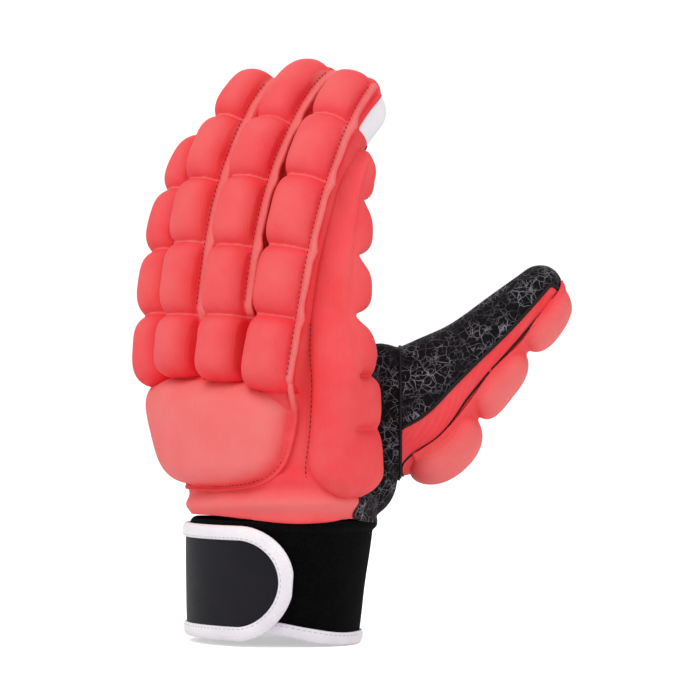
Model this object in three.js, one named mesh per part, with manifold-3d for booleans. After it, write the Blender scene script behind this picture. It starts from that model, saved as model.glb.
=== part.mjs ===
// A left-hand full-finger glove for indoor field hockey, shown as worn: fingers up, thumb spread.
// The hand is a hollow cloth shell, in a padded back and a grip palm, with foam cells along the
// fingers, the thumb and the index side. An elastic cuff with a hook-and-loop strap closes it.
// Millimetres, +Z along the fingers, +X to the thumb side, -Y out of the back of the hand.
// The origin is the centre of the wrist opening, at the cuff's hem.
import * as THREE from "three";
import { mergeVertices } from "three/addons/utils/BufferGeometryUtils.js";
import Module from "manifold-3d";

const wasm = await Module();
wasm.setup();

// Cloth, foam and the clearance between sewn pieces
const CLOTH_WALL = 2;
const SEAM_GAP = 0.3;
const FLANGE_THICKNESS = 1.3;
const FLANGE_REACH = 1.7;
const PAD_BREADTH = 21.6;
const PAD_HEIGHT = 11.5;
const SADDLE_RADIUS = 19;

// Elastic cuff and its strap
const CUFF_HEIGHT = 53;
const CUFF_BREADTH = 82;
const CUFF_DEPTH = 66;
const CUFF_WALL = 3.2;
const CUFF_SHIFT_X = 2.2;
const CUFF_SHIFT_Y = 2.2;
const CUFF_TAPER = 0.9;
const HEM_HEIGHT = 5.6;
const BINDING_THICKNESS = 0.9;
const STRAP_WIDTH = 46.6;
const STRAP_THICKNESS = 2.2;
const STRAP_RISE = 2.9;
const STRAP_LENGTH = 132;
const STRAP_TIP_ANGLE = 48.5;
const STRAP_BINDING_WIDTH = 5.4;

// The hand, from the cuff's upper rim to the finger crotch
const HAND_LENGTH = 88;
const HAND_BREADTH = 91;
const HAND_THICKNESS = 34;
const HAND_SHIFT_X = -11.4;
const HAND_SHIFT_Y = -11.6;
const HAND_ARCH = 4.5;
const HAND_PAD_HEIGHT = 13;
const SIDE_PAD_HEIGHT = 17;

// Fingers, measured from the knuckle line to the tip
const FINGER_REACH = 132;
const FINGER_BREADTH = 22.4;
const FINGER_DEPTH = 21.6;
const FINGER_BASE_CURL = 7.5;
const FINGERTIP_BARE = 7;

// The thumb, in an upright plane that leans towards the palm
const THUMB_AZIMUTH = 45;
const THUMB_OUT = 88.5;
const THUMB_UP = 57.5;
const THUMB_DEPTH = 54;
const THUMB_BREADTH = 34;
const THUMB_PAD_HEIGHT = 8.6;

// Shares are of the cuff's sizes at 0 and of the hand's at 1. rise is a share of HAND_LENGTH.
const HAND_SECTIONS = [
  { rise: 0.0, lean: 0.0, broad: 0.0, flat: 0.0, close: 1.0, square: 2.1 },
  { rise: 0.1, lean: 0.08, broad: 0.05, flat: 0.1, close: 1.0, square: 2.15 },
  { rise: 0.28, lean: 0.38, broad: 0.45, flat: 0.44, close: 1.0, square: 2.3 },
  { rise: 0.45, lean: 0.7, broad: 0.95, flat: 0.7, close: 1.0, square: 2.5 },
  { rise: 0.65, lean: 0.92, broad: 1.05, flat: 0.9, close: 1.0, square: 2.6 },
  { rise: 0.86, lean: 0.97, broad: 1.0, flat: 1.0, close: 0.99, square: 2.6 },
  { rise: 1.0, lean: 1.0, broad: 1.0, flat: 1.0, close: 0.93, square: 2.5 },
  { rise: 1.05, lean: 1.0, broad: 1.0, flat: 1.0, close: 0.8, square: 2.4 },
  { rise: 1.08, lean: 1.0, broad: 1.0, flat: 1.0, close: 0.6, square: 2.3 },
];
const KNUCKLE_RISE = 0.74;

// across is a share of HAND_BREADTH, behind of HAND_THICKNESS, reach of FINGER_REACH, broad of
// FINGER_BREADTH and PAD_BREADTH, all from the middle of the knuckle line. Angles are degrees.
// start is where the pads start, over the knuckle, and cells their shares from there to the tip.
const FINGERS = [
  { name: "index", across: 0.347, behind: 0.199, facing: 10, splay: 5.3, curl: 53.3, bend: 2.3,
    reach: 0.953, broad: 1.0, start: -0.121, cells: [0.241, 0.206, 0.205, 0.187, 0.161] },
  { name: "middle", across: 0.098, behind: 0.316, facing: 3, splay: 0.5, curl: 61.3, bend: 2.2,
    reach: 1.025, broad: 1.0, start: -0.07, cells: [0.187, 0.205, 0.198, 0.181, 0.229] },
  { name: "ring", across: -0.182, behind: 0.259, facing: -7, splay: -2.5, curl: 50.2, bend: 2.3,
    reach: 0.976, broad: 0.97, start: -0.06, cells: [0.191, 0.23, 0.197, 0.205, 0.177] },
  { name: "little", across: -0.408, behind: 0.058, facing: -20, splay: -9.8, curl: 37.7, bend: 2.4,
    reach: 0.76, broad: 0.87, start: -0.088, cells: [0.276, 0.258, 0.241, 0.225] },
];

// Where the thumb starts, in shares of HAND_LENGTH over the rim and of HAND_BREADTH.
const THUMB_ROOT = { rise: 0.43, out: 0.244, away: 0.055 };

// out is a share of THUMB_OUT, up of THUMB_UP, deep of THUMB_DEPTH and broad of THUMB_BREADTH.
const THUMB_SECTIONS = [
  { out: 0.0, up: 0.0, deep: 0.81, broad: 0.8 },
  { out: 0.19, up: 0.02, deep: 0.92, broad: 0.98 },
  { out: 0.373, up: 0.12, deep: 0.96, broad: 1.0 },
  { out: 0.5525, up: 0.35, deep: 0.74, broad: 0.92 },
  { out: 0.689, up: 0.53, deep: 0.57, broad: 0.8 },
  { out: 0.828, up: 0.727, deep: 0.49, broad: 0.72 },
  { out: 0.927, up: 0.88, deep: 0.42, broad: 0.66 },
  { out: 1.0, up: 1.0, deep: 0.36, broad: 0.58 },
];

// start and end are shares of the thumb's length, tall of THUMB_PAD_HEIGHT. half is in degrees.
const THUMB_STRIP = { start: 0.2, end: 0.955, half: 78 };
const THUMB_CELLS = [
  { start: 0.245, end: 0.44, tall: 1.0, half: 46 },
  { start: 0.44, end: 0.7, tall: 1.05, half: 50 },
  { start: 0.7, end: 0.965, tall: 0.95, half: 54 },
];

// The foam cells down the index side. low and high run from 0 at the rim to 1 at the knuckle and
// 2 at the fingertip, and tall is a share of SIDE_PAD_HEIGHT. front and back are degrees round.
const SIDE_CELLS = [
  { low: 0.127, high: 0.565, tall: 0.74, front: 50, back: 112 },
  { low: 0.565, high: 0.905, tall: 0.93, front: 52, back: 114 },
  { low: 0.905, high: 1.173, tall: 1.3, front: 55, back: 122 },
  { low: 1.173, high: 1.381, tall: 1.12, front: 58, back: 132 },
  { low: 1.381, high: 1.58, tall: 0.85, front: 60, back: 134 },
  { low: 1.58, high: 1.755, tall: 0.55, front: 62, back: 134 },
];
const SIDE_FRONT_SHARE = 0.3;
const SIDE_BLEND = { low: 0.75, high: 1.25 };

// The pad on the back of the hand. low and high are shares of the rise to the knuckles, centre
// and half are degrees round the hand, foot is how far it narrows, and crown how far it rises.
const HAND_PAD = { low: 0.2, high: 0.79, centre: -26, half: 70, foot: 0.74, crown: 0.12 };

// The cloth on the back, in degrees round each form, and the white insert at the index fingertip.
const BACK_CLOTH = { hand: [-104, 104], finger: [-86, 86], index: [-86, 128], tip: [-86, 62] };
const GUSSET = { low: 0.77, high: 0.985, front: 64, back: 150 };

// Where the fingers' panels start, as a share of HAND_LENGTH over the rim, and the thumb's, as a
// share of its length. The planes between the fingers are set midway along them.
const FINGER_SEAM = 1.1;
const THUMB_SEAM = 0.36;
const MIDWAY = 0.4;

const CORAL = new THREE.MeshStandardMaterial({ color: 0xf2595c, roughness: 0.75, metalness: 0 });
const GRIP_BLACK = new THREE.MeshStandardMaterial({ color: 0x17131a, roughness: 0.85, metalness: 0 });
const ELASTIC_BLACK = new THREE.MeshStandardMaterial({ color: 0x0b0a0b, roughness: 0.95, metalness: 0 });
const STRAP_GREY = new THREE.MeshStandardMaterial({ color: 0x2a2930, roughness: 0.6, metalness: 0 });
const BINDING_WHITE = new THREE.MeshStandardMaterial({ color: 0xeae6f2, roughness: 0.8, metalness: 0 });

const rad = THREE.MathUtils.degToRad;
const deg = THREE.MathUtils.radToDeg;
const mix = THREE.MathUtils.lerp;
const clamp = THREE.MathUtils.clamp;
const smoothstep = THREE.MathUtils.smoothstep;
const power = (value, exponent) => Math.sign(value) * Math.abs(value) ** exponent;
const vector = (x, y, z) => new THREE.Vector3(x, y, z);
const shares = (count) => Array.from({ length: count + 1 }, (_, i) => i / count);

// A closed solid that faces out, from points and triangles.
function toSolid(points, faces) {
  const geometry = new THREE.BufferGeometry().setFromPoints(points);
  geometry.setIndex(faces.flat());
  const merged = mergeVertices(geometry, 1e-4);
  const build = (index) =>
    new wasm.Manifold(new wasm.Mesh({
      numProp: 3,
      vertProperties: new Float32Array(merged.attributes.position.array),
      triVerts: new Uint32Array(index),
    }));
  const index = Array.from(merged.index.array);
  const made = build(index);
  if (made.volume() > 0) return made;
  for (let i = 0; i < index.length; i += 3) [index[i + 1], index[i + 2]] = [index[i + 2], index[i + 1]];
  return build(index);
}

// The cuts can leave loose slivers, so a piece is its largest body.
const group = new THREE.Group();
function addPiece(name, solid, material) {
  const [body] = solid.decompose().toSorted((a, b) => b.volume() - a.volume());
  const data = body.getMesh();
  const geometry = new THREE.BufferGeometry();
  geometry.setAttribute("position", new THREE.BufferAttribute(new Float32Array(data.vertProperties), 3));
  geometry.setIndex(new THREE.BufferAttribute(new Uint32Array(data.triVerts), 1));
  geometry.computeVertexNormals();
  const mesh = new THREE.Mesh(geometry, material);
  mesh.name = name;
  group.add(mesh);
}

const union = (solids) => solids.reduce((all, solid) => all.add(solid));
const cut = (solid, others) => others.reduce((left, other) => left.subtract(other), solid);

// Triangles that join rings of points in order. Closed rings also join the last to the first.
function bands(ringCount, count, closed) {
  const faces = [];
  for (let i = 0; i < (closed ? ringCount : ringCount - 1); i++) {
    const near = i * count;
    const far = ((i + 1) % ringCount) * count;
    for (let j = 0; j < count; j++) {
      const next = (j + 1) % count;
      faces.push([near + j, near + next, far + next], [near + j, far + next, far + j]);
    }
  }
  return faces;
}

// A tube through rings of points, closed at each end by a fan round the given middle points.
function tube(rings, first, last) {
  const count = rings[0].length;
  const points = [...rings.flat(), first, last];
  const faces = bands(rings.length, count, false);
  const top = (rings.length - 1) * count;
  for (let j = 0; j < count; j++) {
    const next = (j + 1) % count;
    faces.push([next, j, points.length - 2], [top + j, top + next, points.length - 1]);
  }
  return toSolid(points, faces);
}

const middleOf = (ring) => ring.reduce((sum, p) => sum.add(p), vector(0, 0, 0)).divideScalar(ring.length);
const loft = (rings) => tube(rings, middleOf(rings[0]), middleOf(rings.at(-1)));
const loop = (rings) => toSolid(rings.flat(), bands(rings.length, rings[0].length, true));

// A sheet between two surfaces. place(column, row, height) gives its points for shares 0 to 1.
function sheet(place, columns, rows, over, under) {
  const points = [over, under].flatMap((height) =>
    columns.flatMap((column) => rows.map((row) => place(column, row, height))));
  const half = points.length / 2;
  const at = (i, j) => i * rows.length + j;
  const faces = [];
  const quad = (a, b, c, d) => faces.push([a, b, c], [a, c, d]);
  for (let i = 0; i + 1 < columns.length; i++) {
    for (let j = 0; j + 1 < rows.length; j++) {
      const corners = [at(i, j), at(i + 1, j), at(i + 1, j + 1), at(i, j + 1)];
      quad(...corners);
      quad(...corners.map((corner) => corner + half).toReversed());
    }
  }
  const wall = (a, b) => quad(b, a, a + half, b + half);
  for (let i = 0; i + 1 < columns.length; i++) {
    wall(at(i, 0), at(i + 1, 0));
    wall(at(i + 1, rows.length - 1), at(i, rows.length - 1));
  }
  for (let j = 0; j + 1 < rows.length; j++) {
    wall(at(0, j + 1), at(0, j));
    wall(at(columns.length - 1, j), at(columns.length - 1, j + 1));
  }
  return toSolid(points, faces);
}

// A foam cell: a dome on a rounded square. place(across, along, height) puts it on its host.
const FREE_CELL = [
  { reach: 0.95, rise: 0 },
  { reach: 1.0, rise: 0.28 },
  { reach: 0.9, rise: 0.72 },
  { reach: 0.6, rise: 0.95 },
];
const JOINED_CELL = [
  { reach: 0.98, rise: 0 },
  { reach: 1.0, rise: 0.55 },
  { reach: 0.9, rise: 0.84 },
  { reach: 0.6, rise: 0.97 },
];
const CELL_SQUARENESS = 3.6;
function cell(place, { profile, across, along, halfWidth, halfLength, height, foot, count }) {
  const rings = profile.map(({ reach, rise }) =>
    Array.from({ length: count }, (_, j) => {
      const turn = (j * 2 * Math.PI) / count;
      const x = power(Math.cos(turn), 2 / CELL_SQUARENESS) * halfWidth * reach;
      const y = power(Math.sin(turn), 2 / CELL_SQUARENESS) * halfLength * reach;
      return place(across + x, along + y, mix(foot, height, rise));
    }));
  return tube(rings, place(across, along, foot), place(across, along, height));
}

// A form along a spine, given by stations. Angle 0 is its back and 90 degrees its side.
class Form {
  constructor(stations) {
    this.stations = stations;
    this.end = stations.at(-1).along;
  }

  station(along) {
    const list = this.stations;
    const above = list.findIndex((s) => s.along > along);
    const i = above < 0 ? list.length - 1 : Math.max(1, above);
    const [a, b] = [list[i - 1], list[i]];
    const t = (along - a.along) / (b.along - a.along);
    const held = clamp(t, 0, 1);
    const blend = (key) => mix(a[key], b[key], held);
    const turn = (key) => a[key].clone().lerp(b[key], held).normalize();
    return {
      centre: a.centre.clone().lerp(b.centre, t),
      side: turn("side"),
      back: turn("back"),
      halfWidth: blend("halfWidth"),
      rear: blend("rear"),
      fore: blend("fore"),
      square: blend("square"),
      arch: blend("arch"),
      lean: blend("lean"),
    };
  }

  at(degrees, along, height) {
    const s = this.station(along);
    const [sin, cos] = [Math.sin(rad(degrees)), Math.cos(rad(degrees))];
    const depth = cos > 0 ? s.rear : s.fore;
    const x = power(sin, 2 / s.square);
    const y = power(cos, 2 / s.square);
    const facing = new THREE.Vector2(power(x, s.square - 1) / s.halfWidth, power(y, s.square - 1) / depth);
    facing.normalize();
    return s.centre
      .addScaledVector(s.side, x * s.halfWidth + facing.x * height)
      .addScaledVector(s.back, y * depth + facing.y * height - s.arch * x * x);
  }

  ring(along, count) {
    return Array.from({ length: count }, (_, j) => this.at((j * 360) / count, along, 0));
  }

  solid(alongs, count) {
    return loft(alongs.map((along) => this.ring(along, count)));
  }

  // A fan from the spine to past the surface, between two angles.
  fan(alongs, [from, to], past, step) {
    const turns = shares(Math.ceil((to - from) / step));
    return loft(alongs.map((along) => [
      this.station(along).centre,
      ...turns.map((share) => this.at(mix(from, to, share), along, past)),
    ]));
  }
}

const rim = vector(CUFF_SHIFT_X, CUFF_SHIFT_Y, CUFF_HEIGHT);
const knuckleRise = KNUCKLE_RISE * HAND_LENGTH;
const knuckles = rim.clone().add(vector(HAND_SHIFT_X, HAND_SHIFT_Y, knuckleRise));
const upright = { side: vector(1, 0, 0), back: vector(0, -1, 0), lean: 0 };

// The hand's body, grown outwards by grow.
function handForm(grow) {
  return new Form(HAND_SECTIONS.map(({ rise, lean, broad, flat, close, square }) => {
    const halfDepth = mix(CUFF_DEPTH / 2, HAND_THICKNESS / 2, flat) * close + grow;
    const along = rise * HAND_LENGTH + (rise > 1 ? grow : 0);
    return {
      ...upright,
      along,
      centre: vector(mix(rim.x, knuckles.x, lean), mix(rim.y, knuckles.y, lean), rim.z + along),
      halfWidth: mix(CUFF_BREADTH / 2, HAND_BREADTH / 2, broad) * close + grow,
      rear: halfDepth,
      fore: halfDepth,
      square,
      arch: HAND_ARCH * broad,
    };
  }));
}

// A finger's root sinks into the hand. along is a share of FINGER_REACH.
const ROOT_STATIONS = [
  { along: -0.24, scale: 0.35 },
  { along: -0.13, scale: 1 },
];
const ROOT_FORE = 1.4;
const TIP_SHARE = 0.9;
const DOME_TURNS = [35, 70];
const SPINE_STEPS = 40;

// A finger: it stands on the knuckle line and curls towards the palm.
function fingerForm(finger, grow) {
  const reach = finger.reach * FINGER_REACH;
  const facing = rad(finger.facing);
  const across = vector(Math.cos(facing), Math.sin(facing), 0);
  const outward = vector(Math.sin(facing), -Math.cos(facing), 0);
  const up = vector(0, 0, 1).addScaledVector(across, Math.tan(rad(finger.splay))).normalize();
  const side = vector().crossVectors(outward, up).normalize();
  if (side.dot(across) < 0) side.negate();
  const at = knuckles.clone()
    .add(vector(finger.across * HAND_BREADTH, -finger.behind * HAND_THICKNESS, 0));
  const halfWidth = (finger.broad * FINGER_BREADTH) / 2;
  const halfDepth = (finger.broad * FINGER_DEPTH) / 2;
  const base = rad(FINGER_BASE_CURL);
  const stations = [];
  let curl = base;
  const ahead = () => up.clone().multiplyScalar(Math.cos(curl)).addScaledVector(outward, -Math.sin(curl));
  const push = (along, centre, scale, lean) => {
    const slim = 1 - (1 - TIP_SHARE) * clamp(along / reach, 0, 1);
    const root = 1 - clamp(along / (reach * 0.7), 0, 1);
    stations.push({
      along,
      centre,
      side,
      back: outward.clone().multiplyScalar(Math.cos(curl)).addScaledVector(up, Math.sin(curl)),
      halfWidth: (halfWidth * slim + grow) * scale,
      rear: (halfDepth * slim + grow) * scale,
      fore: (halfDepth * slim * mix(1, ROOT_FORE, root) + grow) * scale,
      square: 2.15,
      arch: 0,
      lean,
    });
  };
  ROOT_STATIONS.forEach(({ along, scale }) =>
    push(along * FINGER_REACH, at.clone().addScaledVector(ahead(), along * FINGER_REACH), scale, 0));
  const straight = reach - halfDepth * TIP_SHARE;
  for (let i = 0; i <= SPINE_STEPS; i++) {
    const along = (i * straight) / SPINE_STEPS;
    curl = base + rad(finger.curl) * (along / reach) ** finger.bend;
    push(along, at.clone(), 1, 0);
    if (i < SPINE_STEPS) at.addScaledVector(ahead(), straight / SPINE_STEPS);
  }
  const dome = halfDepth * TIP_SHARE + grow;
  DOME_TURNS.forEach((turn) => {
    const past = dome * Math.sin(rad(turn));
    push(straight + past, at.clone().addScaledVector(ahead(), past), Math.cos(rad(turn)), turn);
  });
  return new Form(stations);
}

const thumbOut = vector(Math.cos(rad(THUMB_AZIMUTH)), Math.sin(rad(THUMB_AZIMUTH)), 0);
const thumbAway = vector(-thumbOut.y, thumbOut.x, 0);
const thumbRoot = vector(0, 0, rim.z + THUMB_ROOT.rise * HAND_LENGTH)
  .addScaledVector(thumbOut, THUMB_ROOT.out * HAND_BREADTH)
  .addScaledVector(thumbAway, THUMB_ROOT.away * HAND_BREADTH);
const thumbSpine = new THREE.CatmullRomCurve3(THUMB_SECTIONS.map(({ out, up }) =>
  thumbRoot.clone().addScaledVector(thumbOut, out * THUMB_OUT).setZ(thumbRoot.z + up * THUMB_UP)));
const THUMB_STEPS = 3;

// The thumb: its back looks down and out, away from the index finger.
function thumbForm(grow) {
  const last = THUMB_SECTIONS.length - 1;
  const stations = [];
  const push = (along, centre, share, scale) => {
    const i = Math.min(Math.floor(share), last - 1);
    const [a, b] = [THUMB_SECTIONS[i], THUMB_SECTIONS[i + 1]];
    const back = vector().crossVectors(thumbSpine.getTangent(share / last), thumbAway).normalize();
    const halfDepth = ((mix(a.deep, b.deep, share - i) * THUMB_DEPTH) / 2 + grow) * scale;
    stations.push({
      along,
      centre,
      side: thumbAway.clone().negate(),
      back: back.z > 0 ? back.negate() : back,
      halfWidth: ((mix(a.broad, b.broad, share - i) * THUMB_BREADTH) / 2 + grow) * scale,
      rear: halfDepth,
      fore: halfDepth,
      square: 2.1,
      arch: 0,
      lean: 0,
    });
  };
  let along = 0;
  for (let i = 0; i <= last * THUMB_STEPS; i++) {
    const share = i / THUMB_STEPS;
    const centre = thumbSpine.getPoint(share / last);
    if (i > 0) along += centre.distanceTo(stations.at(-1).centre);
    push(along, centre, share, 1);
  }
  const end = stations.at(-1);
  const tangent = thumbSpine.getTangent(1);
  DOME_TURNS.forEach((turn) => {
    const past = end.rear * Math.sin(rad(turn));
    push(along + past, end.centre.clone().addScaledVector(tangent, past), last, Math.cos(rad(turn)));
  });
  return new Form(stations);
}

// The stations at which each form is lofted.
const RING_SHARES = [0.32, 0.58, 0.78, 0.9, 1];
function fingerRings(form) {
  const straight = form.stations.at(-DOME_TURNS.length - 1).along;
  const root = form.stations.slice(0, ROOT_STATIONS.length);
  const dome = form.stations.slice(-DOME_TURNS.length);
  const ends = [root, dome].map((list) => list.map((s) => s.along));
  return [...ends[0], 0, ...RING_SHARES.map((share) => share * straight), ...ends[1]];
}
function thumbRings(form) {
  const spine = form.stations.slice(0, -DOME_TURNS.length);
  const dome = form.stations.slice(-DOME_TURNS.length);
  return [...spine.slice(0, -1).filter((_, i) => i % THUMB_STEPS === 0), spine.at(-1), ...dome].map((s) => s.along);
}

// The whole outside or inside of the glove's hand as one solid.
const OUTSIDE = { hand: 22, finger: 10, thumb: 10 };
const INSIDE = { hand: 14, finger: 6, thumb: 6 };
function handSolid(grow, counts, below) {
  const body = handForm(grow);
  const pieces = [body.solid([...below, ...body.stations.map((s) => s.along)], counts.hand)];
  FINGERS.forEach((finger) => {
    const form = fingerForm(finger, grow);
    pieces.push(form.solid(fingerRings(form), counts.finger));
  });
  const form = thumbForm(grow);
  pieces.push(form.solid(thumbRings(form), counts.thumb));
  return union(pieces);
}

const hand = handForm(0);
const fingers = FINGERS.map((finger) => ({ ...finger, form: fingerForm(finger, 0) }));
const index = fingers[0];
const indexReach = index.reach * FINGER_REACH;
const thumb = thumbForm(0);
const handRows = HAND_SECTIONS.map(({ rise }) => rise * HAND_LENGTH);

const outside = handSolid(0, OUTSIDE, []);
const inside = handSolid(-CLOTH_WALL, INSIDE, [-CUFF_HEIGHT / 2]);
const shell = outside.subtract(inside);

// A finger's padded strip rides on a shallow saddle over its back.
function saddle(form) {
  return (across, along, height) => {
    const s = form.station(along);
    const ahead = vector().crossVectors(s.side, s.back);
    if (ahead.z < 0) ahead.negate();
    const drop = SADDLE_RADIUS - Math.sqrt(Math.max(SADDLE_RADIUS ** 2 - across ** 2, 0));
    return s.centre
      .addScaledVector(s.side, across)
      .addScaledVector(s.back, s.rear - drop + height * Math.cos(rad(s.lean)))
      .addScaledVector(ahead, height * Math.sin(rad(s.lean)));
  };
}

// The sewn edge that shows between the rows of pads, as a thin sheet under them.
const FLANGE_ROWS = [0, 0.25, 0.5, 0.7, 0.86, 1];
const FLANGE_COLUMNS = [-1, -0.4, 0.4, 1];
const FLANGE_TIP = 0.8;
const stripEnd = (finger) => finger.reach * FINGER_REACH - FINGERTIP_BARE;
function flange(finger, grow) {
  const place = saddle(finger.form);
  const half = (finger.broad * PAD_BREADTH) / 2 + FLANGE_REACH + grow;
  const from = finger.start * FINGER_REACH - FLANGE_REACH - grow;
  const to = stripEnd(finger) + grow;
  const narrow = (row) => mix(1, FLANGE_TIP, smoothstep(row, 0.7, 1));
  return sheet(
    (column, row, height) => place(column * half * narrow(row), mix(from, to, row), height),
    FLANGE_COLUMNS, FLANGE_ROWS, FLANGE_THICKNESS + grow, -CLOTH_WALL / 2 - grow);
}

// The regions that the cloth of the back takes, widened by gap along their seams.
const REGION_SHARES = [0, 0.12, 0.36, 0.58, 0.76, 0.9];
const FINGER_TURN = 44;
const HAND_TURN = 27;
const widen = ([from, to], gap, radius) => [from - deg(gap / radius), to + deg(gap / radius)];
const fingerFan = (finger, low, high, turns, gap) => finger.form.fan(
  [...REGION_SHARES.map((share) => mix(low, high, share)), high],
  widen(turns, gap, (finger.broad * FINGER_BREADTH) / 2), 1.3 * CLOTH_WALL + gap, FINGER_TURN);
function backRegion(gap) {
  const rows = [-CLOTH_WALL, ...handRows.slice(1).filter((along) => along <= HAND_LENGTH)];
  const turns = widen(BACK_CLOTH.hand, gap, HAND_BREADTH / 2);
  const regions = [hand.fan(rows, turns, 2 * CLOTH_WALL + gap, HAND_TURN)];
  fingers.forEach((finger) => {
    const root = ROOT_STATIONS[0].along * FINGER_REACH;
    const cloth = finger === index ? BACK_CLOTH.tip : BACK_CLOTH.finger;
    regions.push(fingerFan(finger, root, finger.form.end + CLOTH_WALL, cloth, gap));
  });
  const gusset = GUSSET.low * indexReach + gap;
  regions.push(fingerFan(index, ROOT_STATIONS[0].along * FINGER_REACH, gusset, BACK_CLOTH.index, gap));
  return union(regions);
}

function thumbBackRegion(gap) {
  const [low, high] = [THUMB_STRIP.start, THUMB_STRIP.end].map((share) => share * thumb.end);
  const rows = shares(5).map((share) => mix(low - gap, high + gap, share));
  const turns = widen([-THUMB_STRIP.half, THUMB_STRIP.half], gap, THUMB_BREADTH / 3);
  return thumb.fan(rows, turns, 1.3 * CLOTH_WALL + gap, FINGER_TURN);
}

function gussetRegion(gap) {
  const [low, high] = [GUSSET.low * indexReach + SEAM_GAP - gap, GUSSET.high * indexReach + gap];
  return fingerFan(index, low, high, [GUSSET.front, GUSSET.back], gap);
}

const flanges = fingers.map((finger) => flange(finger, 0));
const flangeClearance = fingers.map((finger) => flange(finger, SEAM_GAP));
const backCloth = shell.intersect(backRegion(0)).subtract(gussetRegion(SEAM_GAP));
const backSkin = backCloth.add(union(flanges).subtract(inside));
const palmSkin = cut(shell, [
  backRegion(SEAM_GAP),
  thumbBackRegion(SEAM_GAP),
  gussetRegion(SEAM_GAP),
  ...flangeClearance,
]);

// The cloth is sewn from panels. A level seam over the finger crotch parts the hand's panel from
// the fingers', planes midway between the fingers part those, and the thumb's has its own seam.
const seamRise = rim.z + FINGER_SEAM * HAND_LENGTH;
const beyond = (solid, { normal, offset }) => solid.trimByPlane(normal.toArray(), offset + SEAM_GAP / 2);
const facingBack = ({ normal, offset }) => ({ normal: normal.clone().negate(), offset: -offset });
const fingerSeam = { normal: vector(0, 0, 1), offset: seamRise };
const between = fingers.slice(1).map((finger, i) => {
  const [a, b] = [fingers[i], finger].map(({ form, reach }) => form.station(MIDWAY * reach * FINGER_REACH));
  const normal = a.side.clone().add(b.side).normalize();
  return { normal, offset: normal.dot(a.centre.clone().add(b.centre)) / 2 };
});
function addPanels(skin, handName, suffix, material) {
  addPiece(handName, beyond(skin, facingBack(fingerSeam)), material);
  fingers.forEach(({ name }, i) => {
    const sides = [...between.slice(i, i + 1), ...between.slice(Math.max(i - 1, 0), i).map(facingBack)];
    addPiece(`${name}_${suffix}`, sides.reduce(beyond, beyond(skin, fingerSeam)), material);
  });
}
function thumbZone(gap) {
  const form = thumbForm(2 * CLOTH_WALL + gap);
  const low = THUMB_SEAM * thumb.end - gap;
  return form.solid([low, ...thumbRings(form).filter((along) => along > low + CLOTH_WALL)], OUTSIDE.thumb);
}
addPanels(backSkin, "back_panel", "back", CORAL);
addPanels(palmSkin.subtract(thumbZone(SEAM_GAP)), "palm_panel", "front", GRIP_BLACK);
addPiece("thumb_front", palmSkin.intersect(thumbZone(0)), GRIP_BLACK);
addPiece("index_tip_gusset", cut(shell.intersect(gussetRegion(0)), flangeClearance), BINDING_WHITE);
addPiece("thumb_back", shell.intersect(thumbBackRegion(0)), CORAL);

// Every pad is seated with a seam's gap on the cloth and flanges under it.
const clearance = [handSolid(SEAM_GAP, OUTSIDE, []), ...flangeClearance];
const addPad = (name, place, sizes) => addPiece(name, cut(cell(place, sizes), clearance), CORAL);

// Finger pads, knuckle first. The first one narrows between its neighbours.
const KNUCKLE_PAD_SHARE = 0.95;
fingers.forEach((finger) => {
  const place = saddle(finger.form);
  const start = finger.start * FINGER_REACH;
  const length = stripEnd(finger) - start;
  let from = start;
  finger.cells.forEach((share, i) => {
    const to = from + share * length;
    addPad(`${finger.name}_pad_${i + 1}`, place, {
      profile: FREE_CELL,
      across: 0,
      along: (from + to) / 2,
      halfWidth: ((i === 0 ? KNUCKLE_PAD_SHARE : 1) * finger.broad * PAD_BREADTH) / 2,
      halfLength: (to - from - SEAM_GAP) / 2,
      height: FLANGE_THICKNESS + PAD_HEIGHT,
      foot: 0,
      count: 12,
    });
    from = to;
  });
});

// The pad on the back of the hand, narrower at the wrist and domed up under the knuckles
const handPadHalf = ((HAND_PAD.high - HAND_PAD.low) * knuckleRise) / 2;
const handPadMiddle = HAND_PAD.low * knuckleRise + handPadHalf;
function handPadPlace(across, along, height) {
  const climb = (along - handPadMiddle) / handPadHalf;
  const turn = mix(HAND_PAD.foot, 1, clamp((climb + 1) / 2, 0, 1)) * across;
  const crown = Math.max(climb, 0) * HAND_PAD.crown * knuckleRise * Math.cos(rad(90 * across / HAND_PAD.half));
  return hand.at(HAND_PAD.centre + turn, along + crown, height);
}
addPad("hand_pad", handPadPlace, {
  profile: FREE_CELL,
  across: 0,
  along: handPadMiddle,
  halfWidth: HAND_PAD.half,
  halfLength: handPadHalf,
  height: HAND_PAD_HEIGHT,
  foot: -CLOTH_WALL,
  count: 20,
});

// The index side runs from the hand's edge onto the index finger.
function sideHost(across, run, height) {
  const rise = Math.min(run, 1) * knuckleRise + Math.max(run - 1, 0) * indexReach;
  const along = rise - knuckleRise;
  const t = smoothstep(run, SIDE_BLEND.low, SIDE_BLEND.high);
  return hand.at(across, rise, height).lerp(index.form.at(across, along, height), t);
}
SIDE_CELLS.forEach(({ low, high, tall, front, back }, i) => {
  const ramp = (across) => mix(SIDE_FRONT_SHARE, 1, smoothstep(across, front, mix(front, back, 0.7)));
  const rise = low < 1 ? knuckleRise : indexReach;
  addPad(
    `side_pad_${i + 1}`,
    (across, run, height) => sideHost(across, run, height > 0 ? height * ramp(across) : height),
    {
      profile: JOINED_CELL,
      across: (front + back) / 2,
      along: (low + high) / 2,
      halfWidth: (back - front) / 2,
      halfLength: (high - low - SEAM_GAP / rise) / 2,
      height: tall * SIDE_PAD_HEIGHT,
      foot: -2 * CLOTH_WALL,
      count: 12,
    });
});

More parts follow.
